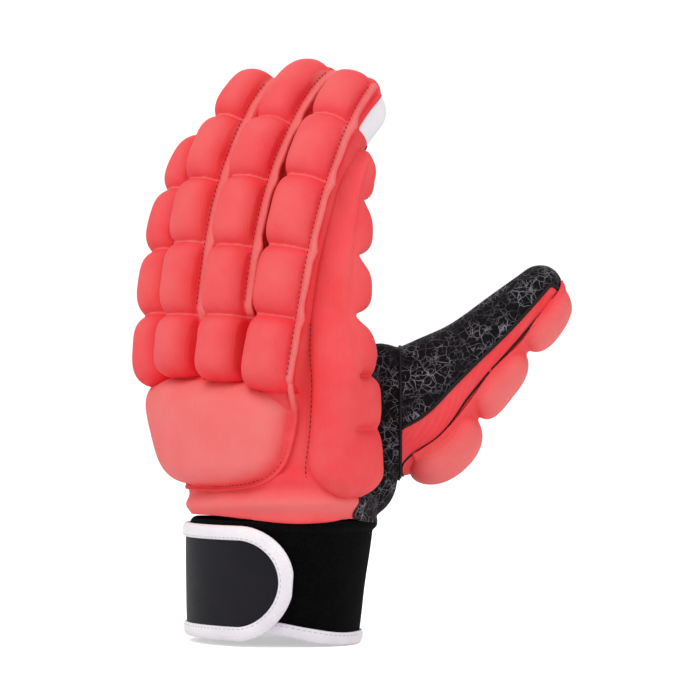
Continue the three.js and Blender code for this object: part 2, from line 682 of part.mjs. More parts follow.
THUMB_CELLS.forEach(({ start, end, tall, half }, i) => {
  addPad(`thumb_pad_${i + 1}`, (across, along, height) => thumb.at(across, along, height), {
    profile: JOINED_CELL,
    across: 0,
    along: ((start + end) / 2) * thumb.end,
    halfWidth: half,
    halfLength: ((end - start) * thumb.end - SEAM_GAP) / 2,
    height: tall * THUMB_PAD_HEIGHT,
    foot: -CLOTH_WALL,
    count: 12,
  });
});

// The cuff's outer surface at an angle round it and a height over the hem
const cuff = new Form([0, 1].map((share) => ({
  ...upright,
  along: share * rim.z,
  centre: rim.clone().multiplyScalar(share),
  halfWidth: (mix(CUFF_TAPER, 1, share) * CUFF_BREADTH) / 2,
  rear: (mix(CUFF_TAPER, 1, share) * CUFF_DEPTH) / 2,
  fore: (mix(CUFF_TAPER, 1, share) * CUFF_DEPTH) / 2,
  square: HAND_SECTIONS[0].square,
  arch: 0,
})));
const CUFF_STEPS = 26;
const round = (profile) => loop(Array.from({ length: CUFF_STEPS }, (_, j) =>
  profile.map(([height, rise]) => cuff.at((j * 360) / CUFF_STEPS, rise, height))));

const hemInner = -CUFF_WALL - SEAM_GAP;
const cuffFoot = BINDING_THICKNESS + SEAM_GAP;
addPiece("cuff", round([
  [0, cuffFoot],
  [0, CUFF_HEIGHT - SEAM_GAP],
  [-CUFF_WALL, CUFF_HEIGHT - SEAM_GAP],
  [-CUFF_WALL, cuffFoot],
]), ELASTIC_BLACK);
addPiece("hem_binding", round([
  [SEAM_GAP + BINDING_THICKNESS, HEM_HEIGHT],
  [SEAM_GAP + BINDING_THICKNESS, 0],
  [hemInner - BINDING_THICKNESS, 0],
  [hemInner - BINDING_THICKNESS, HEM_HEIGHT],
  [hemInner, HEM_HEIGHT],
  [hemInner, BINDING_THICKNESS],
  [SEAM_GAP, BINDING_THICKNESS],
  [SEAM_GAP, HEM_HEIGHT],
]), BINDING_WHITE);

// The strap lies round the cuff from its rounded end. Its middle line is stepped off by length.
const strapFoot = BINDING_THICKNESS + 2 * SEAM_GAP;
const strapTop = strapFoot + STRAP_THICKNESS;
const strapMiddle = STRAP_RISE + STRAP_WIDTH / 2;
const strapTurns = [{ turn: STRAP_TIP_ANGLE, length: 0 }];
while (strapTurns.at(-1).length < STRAP_LENGTH + 1) {
  const { turn, length } = strapTurns.at(-1);
  const step = cuff.at(turn, strapMiddle, strapFoot).distanceTo(cuff.at(turn - 1, strapMiddle, strapFoot));
  strapTurns.push({ turn: turn - 1, length: length + step });
}
function strapPlace(length, across, height) {
  const i = Math.max(strapTurns.findIndex((s) => s.length > length), 1);
  const [a, b] = [strapTurns[i - 1], strapTurns[i]];
  return cuff.at(mix(a.turn, b.turn, (length - a.length) / (b.length - a.length)), strapMiddle + across, height);
}

// The strap's outline, drawn in by inset: the lower edge, the rounded end and the upper edge.
const STRAP_EDGE_STEPS = 13;
const STRAP_END_STEPS = 10;
const strapRadius = STRAP_WIDTH / 2;
const strapStations = (inset) => shares(STRAP_EDGE_STEPS).map((share) =>
  Math.min(mix(strapRadius, STRAP_LENGTH, share), STRAP_LENGTH - inset));
function strapOutline(inset) {
  const radius = strapRadius - inset;
  const edge = strapStations(inset);
  const end = shares(STRAP_END_STEPS).slice(1, -1).map((share) => rad(180 * share));
  return [
    ...edge.toReversed().map((length) => [length, -radius]),
    ...end.map((turn) => [strapRadius - radius * Math.sin(turn), -radius * Math.cos(turn)]),
    ...edge.map((length) => [length, radius]),
  ];
}
const strapInset = BINDING_THICKNESS + SEAM_GAP;
const panelHalf = (length) =>
  Math.sqrt((strapRadius - strapInset) ** 2 - Math.max(strapRadius - length, 0) ** 2);
const panelStations = [
  ...[10, 25, 40, 55, 70].map((turn) => strapRadius - (strapRadius - strapInset) * Math.cos(rad(turn))),
  ...strapStations(strapInset),
];
addPiece("strap", loft(panelStations.map((length) => {
  const half = panelHalf(length);
  return [[-half, strapTop], [half, strapTop], [half, strapFoot], [-half, strapFoot]]
    .map(([across, height]) => strapPlace(length, across, height));
})), STRAP_GREY);

const bindingFoot = strapTop + SEAM_GAP;
const bindingTop = bindingFoot + BINDING_THICKNESS;
const bindingProfile = [
  { inset: 0, height: strapFoot },
  { inset: 0, height: bindingTop },
  { inset: STRAP_BINDING_WIDTH, height: bindingTop },
  { inset: STRAP_BINDING_WIDTH, height: bindingFoot },
  { inset: BINDING_THICKNESS, height: bindingFoot },
  { inset: BINDING_THICKNESS, height: strapFoot },
].map(({ inset, height }) => strapOutline(inset).map(([length, across]) => strapPlace(length, across, height)));
addPiece("strap_binding", loop(bindingProfile[0].map((_, i) => bindingProfile.map((line) => line[i]))), BINDING_WHITE);

export default group;
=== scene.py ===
# A left-hand full-finger glove for indoor field hockey, shown as worn. The back is coral stretch
# cloth with moulded foam cells, the palm is black grip cloth, and an elastic cuff with a
# hook-and-loop strap closes it. Shapes are worked out in millimetres: +Z along the fingers, +X to
# the thumb side, -Y out of the back of the hand.
import math

import bpy
import numpy as np
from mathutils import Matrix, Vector


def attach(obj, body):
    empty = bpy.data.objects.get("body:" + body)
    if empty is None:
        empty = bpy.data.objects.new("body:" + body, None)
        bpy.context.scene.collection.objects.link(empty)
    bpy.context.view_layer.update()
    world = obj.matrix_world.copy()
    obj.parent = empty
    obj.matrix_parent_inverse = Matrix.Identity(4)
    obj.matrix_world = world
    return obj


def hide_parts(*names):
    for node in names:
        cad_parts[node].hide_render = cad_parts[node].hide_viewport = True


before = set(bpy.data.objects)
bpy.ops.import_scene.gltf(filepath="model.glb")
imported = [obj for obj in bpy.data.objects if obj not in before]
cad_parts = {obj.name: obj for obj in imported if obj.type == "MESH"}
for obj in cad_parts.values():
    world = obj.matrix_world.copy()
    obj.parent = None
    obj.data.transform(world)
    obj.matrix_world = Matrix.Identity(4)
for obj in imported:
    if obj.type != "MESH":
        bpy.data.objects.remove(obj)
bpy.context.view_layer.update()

MM = 0.001

# Cloth and foam. A finger's cell runs under the next by PAD_LAP. It is broader by CUT_BREADTH on
# the thumb side, where it is cut straight.
CLOTH_WALL = 1.6
SHELL_VOXEL = 1.3
PAD_VOXEL = 0.62
PAD_BREADTH = 21.6
PAD_HEIGHT = 11.5
PAD_LAP = 1.4
CUT_BREADTH = 1.22
SADDLE_RADIUS = 19

# The sewn edge of a finger's strip: flat under the cells, and a ridge on the thumb side, which
# comes free between two places in millimetres from the knuckles
FLANGE_THICKNESS = 1.3
FLANGE_LEAD = 0.3
FLANGE_FAR = {"index": 0.3, "middle": 3, "ring": 3, "little": 0.3}
FLANGE_RIDGE = {"index": 1.9, "middle": 3.4, "ring": 3.8, "little": 3.8}
FLANGE_SWELL = 1.5
FLANGE_LIFT = 4.0
FLANGE_DIP = 5.0
FLANGE_FAR_LIFT = 2.5
FLANGE_WALL = {"index": 3.4, "middle": 1.8, "ring": 6, "little": 6}
RIDGE_STARTS = {"index": (-15, -8), "middle": (8, 22), "ring": (2, 20), "little": (4, 20)}

# Elastic cuff and its strap, which draws the hem up on its side
CUFF_HEIGHT = 53
CUFF_BREADTH = 82
CUFF_DEPTH = 66
CUFF_WALL = 3.2
CUFF_SHIFT = (2.2, 2.2)
CUFF_TAPER = 0.9
CUFF_STEPS = 220
RIM_ROLL = 2.2
HEM_HEIGHT = 5.6
HEM_DRAWN = 5.5
BINDING_THICKNESS = 0.9
SEAM_GAP = 0.3
STRAP_WIDTH = 46.6
STRAP_THICKNESS = 2.2
STRAP_RISE = 2.9
STRAP_LENGTH = 132
STRAP_TIP_ANGLE = 48.5
STRAP_BINDING_WIDTH = 5.4

# The hand, from the cuff's upper rim to the finger crotch
HAND_LENGTH = 88
HAND_BREADTH = 91
HAND_THICKNESS = 34
HAND_SHIFT = (-11.4, -11.6)
HAND_ARCH = 4.5
HAND_PAD_HEIGHT = 13
SIDE_PAD_HEIGHT = 17
KNUCKLE_RISE = 0.74

# Fingers, measured from the knuckle line to the tip
FINGER_REACH = 132
FINGER_BREADTH = 22.4
FINGER_DEPTH = 21.6
FINGER_BASE_CURL = 7.5
FINGERTIP_BARE = 7
ROOT_STATIONS = ((-0.24, 0.35), (-0.13, 1.0))
ROOT_FORE = 1.4
TIP_SHARE = 0.9
DOME_TURNS = (12, 25, 37, 49, 60, 70, 79, 86)
SPINE_STEPS = 60

# The thumb, in an upright plane that leans towards the palm
THUMB_AZIMUTH = 45
THUMB_OUT = 88.5
THUMB_UP = 57.5
THUMB_DEPTH = 54
THUMB_BREADTH = 34
THUMB_PAD_HEIGHT = 8.6
THUMB_ROOT = {"rise": 0.43, "out": 0.244, "away": 0.055}

# Shares are of the cuff's sizes at 0 and of the hand's at 1, in order up the hand.
HAND_SECTIONS = {
    "rise": (0.0, 0.1, 0.28, 0.45, 0.65, 0.86, 1.0, 1.05, 1.08),
    "lean": (0.0, 0.08, 0.38, 0.7, 0.92, 0.97, 1.0, 1.0, 1.0),
    "broad": (0.0, 0.05, 0.45, 0.95, 1.05, 1.0, 1.0, 1.0, 1.0),
    "flat": (0.0, 0.1, 0.44, 0.7, 0.9, 1.0, 1.0, 1.0, 1.0),
    "close": (1.0, 1.0, 1.0, 1.0, 1.0, 0.99, 0.93, 0.8, 0.6),
    "square": (2.1, 2.15, 2.3, 2.5, 2.6, 2.6, 2.5, 2.4, 2.3),
}

# across is a share of HAND_BREADTH, behind of HAND_THICKNESS, reach of FINGER_REACH, broad of
# FINGER_BREADTH and PAD_BREADTH. Angles are degrees. cells are shares of the strip from start.
FINGERS = {
    "index": {"across": 0.347, "behind": 0.199, "facing": 10, "splay": 5.3, "curl": 53.3, "bend": 2.3,
              "reach": 0.953, "broad": 1.0, "start": -0.1, "cells": (0.225, 0.21, 0.209, 0.191, 0.165)},
    "middle": {"across": 0.098, "behind": 0.316, "facing": 3, "splay": 0.5, "curl": 61.3, "bend": 2.2,
               "reach": 1.025, "broad": 1.0, "start": -0.07, "cells": (0.187, 0.205, 0.198, 0.181, 0.229)},
    "ring": {"across": -0.182, "behind": 0.259, "facing": -7, "splay": -2.5, "curl": 50.2, "bend": 2.3,
             "reach": 0.976, "broad": 0.97, "start": -0.06, "cells": (0.191, 0.23, 0.197, 0.205, 0.177)},
    "little": {"across": -0.408, "behind": 0.058, "facing": -20, "splay": -9.8, "curl": 37.7, "bend": 2.4,
               "reach": 0.76, "broad": 0.87, "start": -0.088, "cells": (0.276, 0.258, 0.241, 0.225)},
}

# Shares of the thumb's sizes, from its root to its tip
THUMB_SECTIONS = {
    "out": (0.0, 0.19, 0.373, 0.5525, 0.689, 0.828, 0.927, 1.0),
    "up": (0.0, 0.02, 0.12, 0.35, 0.53, 0.727, 0.88, 1.0),
    "deep": (0.81, 0.92, 0.96, 0.74, 0.57, 0.49, 0.42, 0.36),
    "broad": (0.8, 0.98, 1.0, 0.92, 0.8, 0.72, 0.66, 0.58),
}
THUMB_STRIP = {"start": 0.1, "end": 0.955, "half": 78}
# The seam angle is where the black line round the thumb's cells lies, a painted shadow under the flange's
# edge.
THUMB_EDGE = {"half": 51, "uneven": 1.6, "wave": 5.1, "seam": 52.6}
# From and to as shares of the thumb, the height as a share of THUMB_PAD_HEIGHT, and half the turn
THUMB_CELLS = ((0.205, 0.45, 1.08, 47), (0.45, 0.73, 1.1, 50), (0.73, 0.985, 1.0, 54))
# How far out the upright seam between the hand's grip cloth and the thumb's lies
THUMB_SEAM = 51.8

# The foam strip down the index side. Runs go from 0 at the rim to 1 at the knuckle and 2 at the
# fingertip. Each cell has its height as a share of SIDE_PAD_HEIGHT and its front and back angles.
SIDE_RUNS = (0.127, 0.565, 0.905, 1.173, 1.381, 1.58, 1.755)
SIDE_TALL = (0.74, 0.93, 1.3, 1.12, 0.85, 0.55)
SIDE_FRONT = (56, 65, 73, 75, 73, 70)
SIDE_BACK = (112, 114, 122, 132, 134, 134)
SIDE_BLEND = (0.75, 1.25)
SIDE_RIDGE = 2.2

# The pad on the back of the hand: its rise as shares of the knuckles', its breadth in degrees, how
# square its lower and upper corners are, its sewn rim as a share of it, and the cell's own form
HAND_PAD = {"low": 0.2, "high": 0.8, "centre": -23.5, "half": 75.5, "foot": 0.78, "crown": 0.1,
            "square": (3.4, 7), "rim": 1.07, "form": (3.4, 0.46)}

# The cloth on the back, in degrees round each form and the wrist, and the insert at the index
# fingertip
BACK_CLOTH = {"hand": (-104, 104), "finger": (-86, 86), "index": (-86, 128), "tip": (-86, 67)}
WRIST_BACK_EDGE = 88
GUSSET = {"low": 0.795, "high": 0.985, "front": 64, "back": 150}

# The cloth that bridges the thumb and the hand, in shares of HAND_BREADTH out from the middle and
# of HAND_LENGTH over the rim, and the heel of the thumb, in millimetres
WEB = {"out": (0.38, 0.48, 0.58), "rise": (0.81, 0.818, 0.785), "radius": (15, 12, 9)}
HEEL = {"out": 37.5, "over": 15, "radii": (13, 13, 15)}

# The cloth past the last cell of three fingers: how far below the tip, towards the thumb side and
# outwards its middle lies, and its radius
FINGERTIP_HOODS = {"index": (7, 3, 7.6, 6.2), "middle": (7, 3, 7.6, 6), "ring": (7, 2.4, 7.2, 4.8)}

# The camera looks level at the glove, at AIM metres to the right of the middle and up
AZIMUTH = 45
CAMERA_DISTANCE = 1.5
SENSOR = 36
PIXELS_PER_MM = 2.381
PHOTO_SIDE = 700
AIM = {"right": 0.0308, "up": 0.1223}
FLOOR_HALF = 6000


# Small helpers

def lerp(a, b, share):
    return a + (b - a) * share


def smoothstep(x, low, high):
    t = np.clip((x - low) / (high - low), 0, 1)
    return t * t * (3 - 2 * t)


def power(value, exponent):
    return np.sign(value) * np.abs(value) ** exponent


def unit(vectors):
    return vectors / np.linalg.norm(vectors, axis=-1, keepdims=True)


def broadcast(*values):
    return np.broadcast_arrays(*(np.asarray(value, float) for value in values))


def lengths_along(path):
    return np.concatenate([[0], np.cumsum(np.linalg.norm(np.diff(path, axis=0), axis=1))])


def sampled(path, at):
    """The points at some lengths along a path."""
    steps = lengths_along(path)
    return np.stack([np.interp(at, steps, path[:, axis]) for axis in range(3)], 1)


def eased(knots, values, x):
    """A smooth curve through points that doesn't overshoot them."""
    knots, values, x = (np.asarray(a, float) for a in (knots, values, x))
    steps = np.diff(knots)
    slopes = np.diff(values) / steps
    product = slopes[:-1] * slopes[1:]
    total = np.where(product > 0, slopes[:-1] + slopes[1:], 1)
    inner = np.where(product > 0, 2 * product / total, 0)
    tangents = np.concatenate([slopes[:1], inner, slopes[-1:]])
    i = np.clip(np.searchsorted(knots, x, side="right") - 1, 0, len(steps) - 1)
    t = np.clip((x - knots[i]) / steps[i], 0, 1)
    return ((2 * t**3 - 3 * t**2 + 1) * values[i] + (t**3 - 2 * t**2 + t) * steps[i] * tangents[i]
            + (3 * t**2 - 2 * t**3) * values[i + 1] + (t**3 - t**2) * steps[i] * tangents[i + 1])


# Forms along a spine

class Form:
    """A form along a spine, given by stations. Angle 0 is its back and 90 degrees its side."""

    def __init__(self, along, centre, side, back, **sizes):
        self.along = np.asarray(along, float)
        count = len(self.along)
        self.axes = {key: np.broadcast_to(np.asarray(v, float), (count, 3))
                     for key, v in (("centre", centre), ("side", side), ("back", back))}
        self.sizes = {key: np.broadcast_to(np.asarray(v, float), (count,)) for key, v in sizes.items()}
        self.end = self.along[-1]

    def station(self, along):
        i = np.clip(np.searchsorted(self.along, along, side="right"), 1, len(self.along) - 1)
        share = (along - self.along[i - 1]) / (self.along[i] - self.along[i - 1])
        held = np.clip(share, 0, 1)
        found = {key: lerp(v[i - 1], v[i], (share if key == "centre" else held)[..., None])
                 for key, v in self.axes.items()}
        found["side"], found["back"] = unit(found["side"]), unit(found["back"])
        found.update({key: lerp(v[i - 1], v[i], held) for key, v in self.sizes.items()})
        return found

    def at(self, degrees, along, height):
        """The point at an angle round the form, a place along it and a height over its surface."""
        degrees, along, height = broadcast(degrees, along, height)
        s = self.station(along)
        sin, cos = np.sin(np.radians(degrees)), np.cos(np.radians(degrees))
        depth = np.where(cos > 0, s["rear"], s["fore"])
        x, y = power(sin, 2 / s["square"]), power(cos, 2 / s["square"])
        facing = unit(np.stack([power(x, s["square"] - 1) / s["half_width"],
                                power(y, s["square"] - 1) / depth], -1))
        out = x * s["half_width"] + facing[..., 0] * height
        up = y * depth + facing[..., 1] * height - s["arch"] * x * x
        return s["centre"] + s["side"] * out[..., None] + s["back"] * up[..., None]

    def locate(self, points):
        """The angle, the place along and the distance off the surface of points near the form."""
        gaps = np.linalg.norm(points[:, None] - self.axes["centre"][None], axis=2)
        near = gaps.argmin(1)
        ahead = np.cross(self.axes["side"], self.axes["back"])
        ahead = ahead * np.sign(ahead[:, 2:] + 1e-9)
        steps = points - self.axes["centre"][near]
        along = self.along[near] + (steps * ahead[near]).sum(1)
        s = self.station(along)
        offset = points - s["centre"]
        x = (offset * s["side"]).sum(1) / s["half_width"]
        y = (offset * s["back"]).sum(1) + s["arch"] * np.minimum(x * x, 1)
        depth = np.where(y > 0, s["rear"], s["fore"])
        y = y / depth
        turn = np.degrees(np.arctan2(power(x, s["square"] / 2), power(y, s["square"] / 2)))
        reach = (np.abs(x) ** s["square"] + np.abs(y) ** s["square"]) ** (1 / s["square"])
        return turn, along, (reach - 1) * (s["half_width"] + depth) / 2

    def rings(self, alongs, count):
        turns = np.arange(count) * 360 / count
        return self.at(turns[None], np.asarray(alongs, float)[:, None], 0)


rim = np.array([*CUFF_SHIFT, CUFF_HEIGHT], float)
knuckle_rise = KNUCKLE_RISE * HAND_LENGTH
knuckles = rim + np.array([*HAND_SHIFT, knuckle_rise])
SIDEWAYS, BACKWARDS, UPWARDS = np.array([1.0, 0, 0]), np.array([0, -1.0, 0]), np.array([0, 0, 1.0])


def hand_form(steps=70):
    rises = HAND_SECTIONS["rise"]
    share = np.linspace(rises[0], rises[-1], steps)
    shape = {key: eased(rises, values, share) for key, values in HAND_SECTIONS.items()}
    along = share * HAND_LENGTH
    lean = shape["lean"][:, None]
    centre = lerp(rim[:2], knuckles[:2], lean)
    depth = lerp(CUFF_DEPTH / 2, HAND_THICKNESS / 2, shape["flat"]) * shape["close"]
    return Form(along, np.column_stack([centre, rim[2] + along]), SIDEWAYS, BACKWARDS,
                half_width=lerp(CUFF_BREADTH / 2, HAND_BREADTH / 2, shape["broad"]) * shape["close"],
                rear=depth, fore=depth, square=shape["square"], arch=HAND_ARCH * shape["broad"])


def finger_form(finger):
    """A finger: it stands on the knuckle line and curls towards the palm."""
    reach = finger["reach"] * FINGER_REACH
    facing = math.radians(finger["facing"])
    across = np.array([math.cos(facing), math.sin(facing), 0])
    outward = np.array([math.sin(facing), -math.cos(facing), 0])
    up = unit(np.array([0, 0, 1]) + across * math.tan(math.radians(finger["splay"])))
    side = unit(np.cross(outward, up))
    side = side if side @ across > 0 else -side
    at = knuckles + np.array([finger["across"] * HAND_BREADTH, -finger["behind"] * HAND_THICKNESS, 0])
    half_width, half_depth = (finger["broad"] * size / 2 for size in (FINGER_BREADTH, FINGER_DEPTH))
    rows = []

    def push(along, centre, curl, scale):
        slim = lerp(1, TIP_SHARE, np.clip(along / reach, 0, 1))
        root = 1 - np.clip(along / (reach * 0.7), 0, 1)
        back = outward * math.cos(curl) + up * math.sin(curl)
        fore = half_depth * slim * lerp(1, ROOT_FORE, root) * scale
        rows.append((along, centre, back, half_width * slim * scale, half_depth * slim * scale, fore))

    def ahead(curl):
        return up * math.cos(curl) - outward * math.sin(curl)

    curl = math.radians(FINGER_BASE_CURL)
    for along, scale in ROOT_STATIONS:
        push(along * FINGER_REACH, at + ahead(curl) * along * FINGER_REACH, curl, scale)
    straight = reach - half_depth * TIP_SHARE
    for along in np.linspace(0, straight, SPINE_STEPS + 1):
        curl = math.radians(FINGER_BASE_CURL + finger["curl"] * (along / reach) ** finger["bend"])
        if along > 0:
            at = at + ahead(curl) * straight / SPINE_STEPS
        push(along, at, curl, 1)
    for turn in DOME_TURNS:
        past = half_depth * TIP_SHARE * math.sin(math.radians(turn))
        push(straight + past, at + ahead(curl) * past, curl, math.cos(math.radians(turn)))
    along, centre, back, width, rear, fore = (np.array(column) for column in zip(*rows))
    return Form(along, centre, side, back, half_width=width, rear=rear, fore=fore, square=2.15, arch=0)


thumb_out = np.array([math.cos(math.radians(THUMB_AZIMUTH)), math.sin(math.radians(THUMB_AZIMUTH)), 0])
thumb_away = np.array([-thumb_out[1], thumb_out[0], 0])


def thumb_form(steps=70):
    """The thumb: its back looks down and out, away from the index finger."""
    last = len(THUMB_SECTIONS["out"]) - 1
    share = np.linspace(0, last, steps)
    shape = {key: eased(range(last + 1), values, share) for key, values in THUMB_SECTIONS.items()}
    root = (thumb_out * THUMB_ROOT["out"] + thumb_away * THUMB_ROOT["away"]) * HAND_BREADTH
    root[2] = rim[2] + THUMB_ROOT["rise"] * HAND_LENGTH
    out, up = shape["out"] * THUMB_OUT, shape["up"] * THUMB_UP
    centre = root + thumb_out * out[:, None] + np.outer(up, UPWARDS)
    tangent = unit(np.gradient(centre, axis=0))
    back = unit(np.cross(tangent, thumb_away))
    back = back * -np.sign(back[:, 2:])
    along = lengths_along(centre)
    width, depth = shape["broad"] * THUMB_BREADTH / 2, shape["deep"] * THUMB_DEPTH / 2
    turns = np.radians(DOME_TURNS)
    past = depth[-1] * np.sin(turns)
    return Form(np.concatenate([along, along[-1] + past]),
                np.concatenate([centre, centre[-1] + np.outer(past, tangent[-1])]), -thumb_away,
                np.concatenate([back, np.repeat(back[-1:], len(turns), 0)]),
                half_width=np.concatenate([width, width[-1] * np.cos(turns)]),
                rear=np.concatenate([depth, depth[-1] * np.cos(turns)]),
                fore=np.concatenate([depth, depth[-1] * np.cos(turns)]), square=2.1, arch=0)


hand = hand_form()
fingers = {name: finger_form(finger) for name, finger in FINGERS.items()}
thumb = thumb_form()
index_reach = FINGERS["index"]["reach"] * FINGER_REACH


# Meshes

def strip_faces(rows, columns, closed_rows=False, closed_columns=False):
    """Quads over a grid of points, row by row."""
    i = np.arange(rows if closed_rows else rows - 1)[:, None]
    j = np.arange(columns if closed_columns else columns - 1)[None]
    near, far = i * columns, ((i + 1) % rows) * columns
    after = (j + 1) % columns
    return np.stack([near + j, near + after, far + after, far + j], -1).reshape(-1, 4)


def added(name, data):
    thing = bpy.data.objects.new(name, data)
    bpy.context.scene.collection.objects.link(thing)
    return thing


def make(name, points, faces, smooth=True):
    """A mesh object from points in millimetres."""
    mesh = bpy.data.meshes.new(name)
    mesh.from_pydata((np.asarray(points) * MM).tolist(), [], [list(map(int, face)) for face in faces])
    mesh.validate()
    mesh.update()
    mesh.polygons.foreach_set("use_smooth", [smooth] * len(mesh.polygons))
    return added(name, mesh)


def tube(rings):
    """Points and faces of a tube through rings, closed at both ends."""
    rows, columns = rings.shape[:2]
    points = np.concatenate([rings.reshape(-1, 3), [rings[0].mean(0), rings[-1].mean(0)]])
    faces = [list(face) for face in strip_faces(rows, columns, closed_columns=True)]
    top = (rows - 1) * columns
    for j in range(columns):
        after = (j + 1) % columns
        faces.append([after, j, len(points) - 2])
        faces.append([top + j, top + after, len(points) - 1])
    return points, faces


def box_sheet(over, under):
    """Points and faces of a closed sheet between two grids of points of the same size."""
    rows, columns = over.shape[:2]
    points = np.concatenate([over.reshape(-1, 3), under.reshape(-1, 3)])
    half = rows * columns
    skin = strip_faces(rows, columns)
    faces = [list(face) for face in skin] + [list(face[::-1] + half) for face in skin]
    grid = np.arange(half).reshape(rows, columns)
    edge = [*grid[0], *grid[1:, -1], *grid[-1, -2::-1], *grid[-2:0:-1, 0]]
    for a, b in zip(edge, edge[1:] + edge[:1]):
        faces.append([b, a, a + half, b + half])
    return points, faces


def merged(bodies):
    """Several bodies' points and faces as one."""
    points, faces, count = [], [], 0
    for body_points, body_faces in bodies:
        points.append(body_points)
        faces += [[int(v) + count for v in face] for face in body_faces]
        count += len(body_points)
    return np.concatenate(points), faces


def evaluate(thing):
    """Applies a piece's modifiers."""
    graph = bpy.context.evaluated_depsgraph_get()
    mesh = bpy.data.meshes.new_from_object(thing.evaluated_get(graph))
    thing.modifiers.clear()
    old, thing.data = thing.data, mesh
    bpy.data.meshes.remove(old)


def coordinates(thing):
    flat = np.empty(len(thing.data.vertices) * 3)
    thing.data.vertices.foreach_get("co", flat)
    return flat.reshape(-1, 3) / MM


def move_to(thing, points):
    thing.data.vertices.foreach_set("co", (points * MM).ravel())
    thing.data.update()


def fused(name, bodies, voxel, smoothing):
    """One smooth skin round several bodies that meet."""
    thing = make(name, *merged(bodies))
    remesh = thing.modifiers.new("skin", "REMESH")
    remesh.mode = "VOXEL"
    remesh.voxel_size = voxel * MM
    soften = thing.modifiers.new("soften", "SMOOTH")
    soften.factor = 0.5
    soften.iterations = smoothing
    evaluate(thing)
    thing.data.polygons.foreach_set("use_smooth", [True] * len(thing.data.polygons))
    return thing


def lay_weave(thing, across, along, crown):
    """Keeps the cloth's own coordinates at each point: across and along it, and a crown value, mostly how
    high on a pad, that the knit paints as highlight.
    """
    values = np.stack(broadcast(across, along, crown), 1)
    attribute = thing.data.attributes.new("weave", "FLOAT_VECTOR", "POINT")
    attribute.data.foreach_set("vector", values.astype(np.float32).ravel())


def ripple(points, amplitude, wave, seed):
    """A gentle uneven offset, from a few crossed waves."""
    draw = np.random.default_rng(seed)
    total = np.zeros(len(points))
    for _ in range(7):
        direction = unit(draw.normal(size=3))
        length, shift = wave * draw.uniform(0.7, 1.5), draw.uniform(0, 6.3)
        total += np.sin(points @ direction * 2 * math.pi / length + shift)
    return total * amplitude / 7 ** 0.5


def swell(thing, offsets):
    """Moves a piece's points along their normals."""
    normals = np.empty(len(thing.data.vertices) * 3)
    thing.data.vertices.foreach_get("normal", normals)
    move_to(thing, coordinates(thing) + normals.reshape(-1, 3) * np.asarray(offsets)[:, None])


def cut_along(points, faces, field):
    """Splits a triangle mesh where field crosses 0: two sets of triangles over the same points."""
    side = field[faces] >= 0
    count = side.sum(1)
    whole = {True: faces[count == 3], False: faces[count == 0]}
    crossed = faces[(count == 1) | (count == 2)]
    sides = field[crossed] >= 0
    lone_side = sides.sum(1) == 1
    lone = np.argmax(sides == lone_side[:, None], 1)
    order = (lone[:, None] + np.arange(3)) % 3
    a, b, c = np.take_along_axis(crossed, order, 1).T
    edges = np.sort(np.concatenate([np.stack([a, b], 1), np.stack([a, c], 1)]), 1)
    unique, index = np.unique(edges, axis=0, return_inverse=True)
    index = index.reshape(-1)
    f0, f1 = field[unique[:, 0]], field[unique[:, 1]]
    share = (f0 / (f0 - f1))[:, None]
    added = lerp(points[unique[:, 0]], points[unique[:, 1]], share)
    ab, ac = (index + len(points)).reshape(2, -1)
    tip = np.stack([a, ab, ac], 1)
    rest = np.concatenate([np.stack([ab, b, c], 1), np.stack([ab, c, ac], 1)])
    twice = np.concatenate([lone_side, lone_side])
    kept = np.concatenate([whole[True], tip[lone_side], rest[~twice]])
    left = np.concatenate([whole[False], tip[~lone_side], rest[twice]])
    return np.concatenate([points, added]), kept, left, np.stack([ab, ac], 1)


def chains(segments):
    """Joins segments between point numbers into lines."""
    joined = {}
    for a, b in segments.tolist():
        joined.setdefault(a, []).append(b)
        joined.setdefault(b, []).append(a)
    lines = []
    while joined:
        ends = [p for p, others in joined.items() if len(others) == 1]
        here = ends[0] if ends else next(iter(joined))
        line = [here]
        while joined.get(here):
            following = joined[here].pop()
            joined[following].remove(here)
            if not joined[here]:
                del joined[here]
            here = following
            line.append(here)
        joined.pop(here, None)
        lines.append(line)
    return lines


# Materials

def linear(red, green, blue):
    """A colour given as 0 to 255, for the shader."""
    shares = [value / 255 for value in (red, green, blue)]
    return (*(s / 12.92 if s <= 0.04045 else ((s + 0.055) / 1.055) ** 2.4 for s in shares), 1)


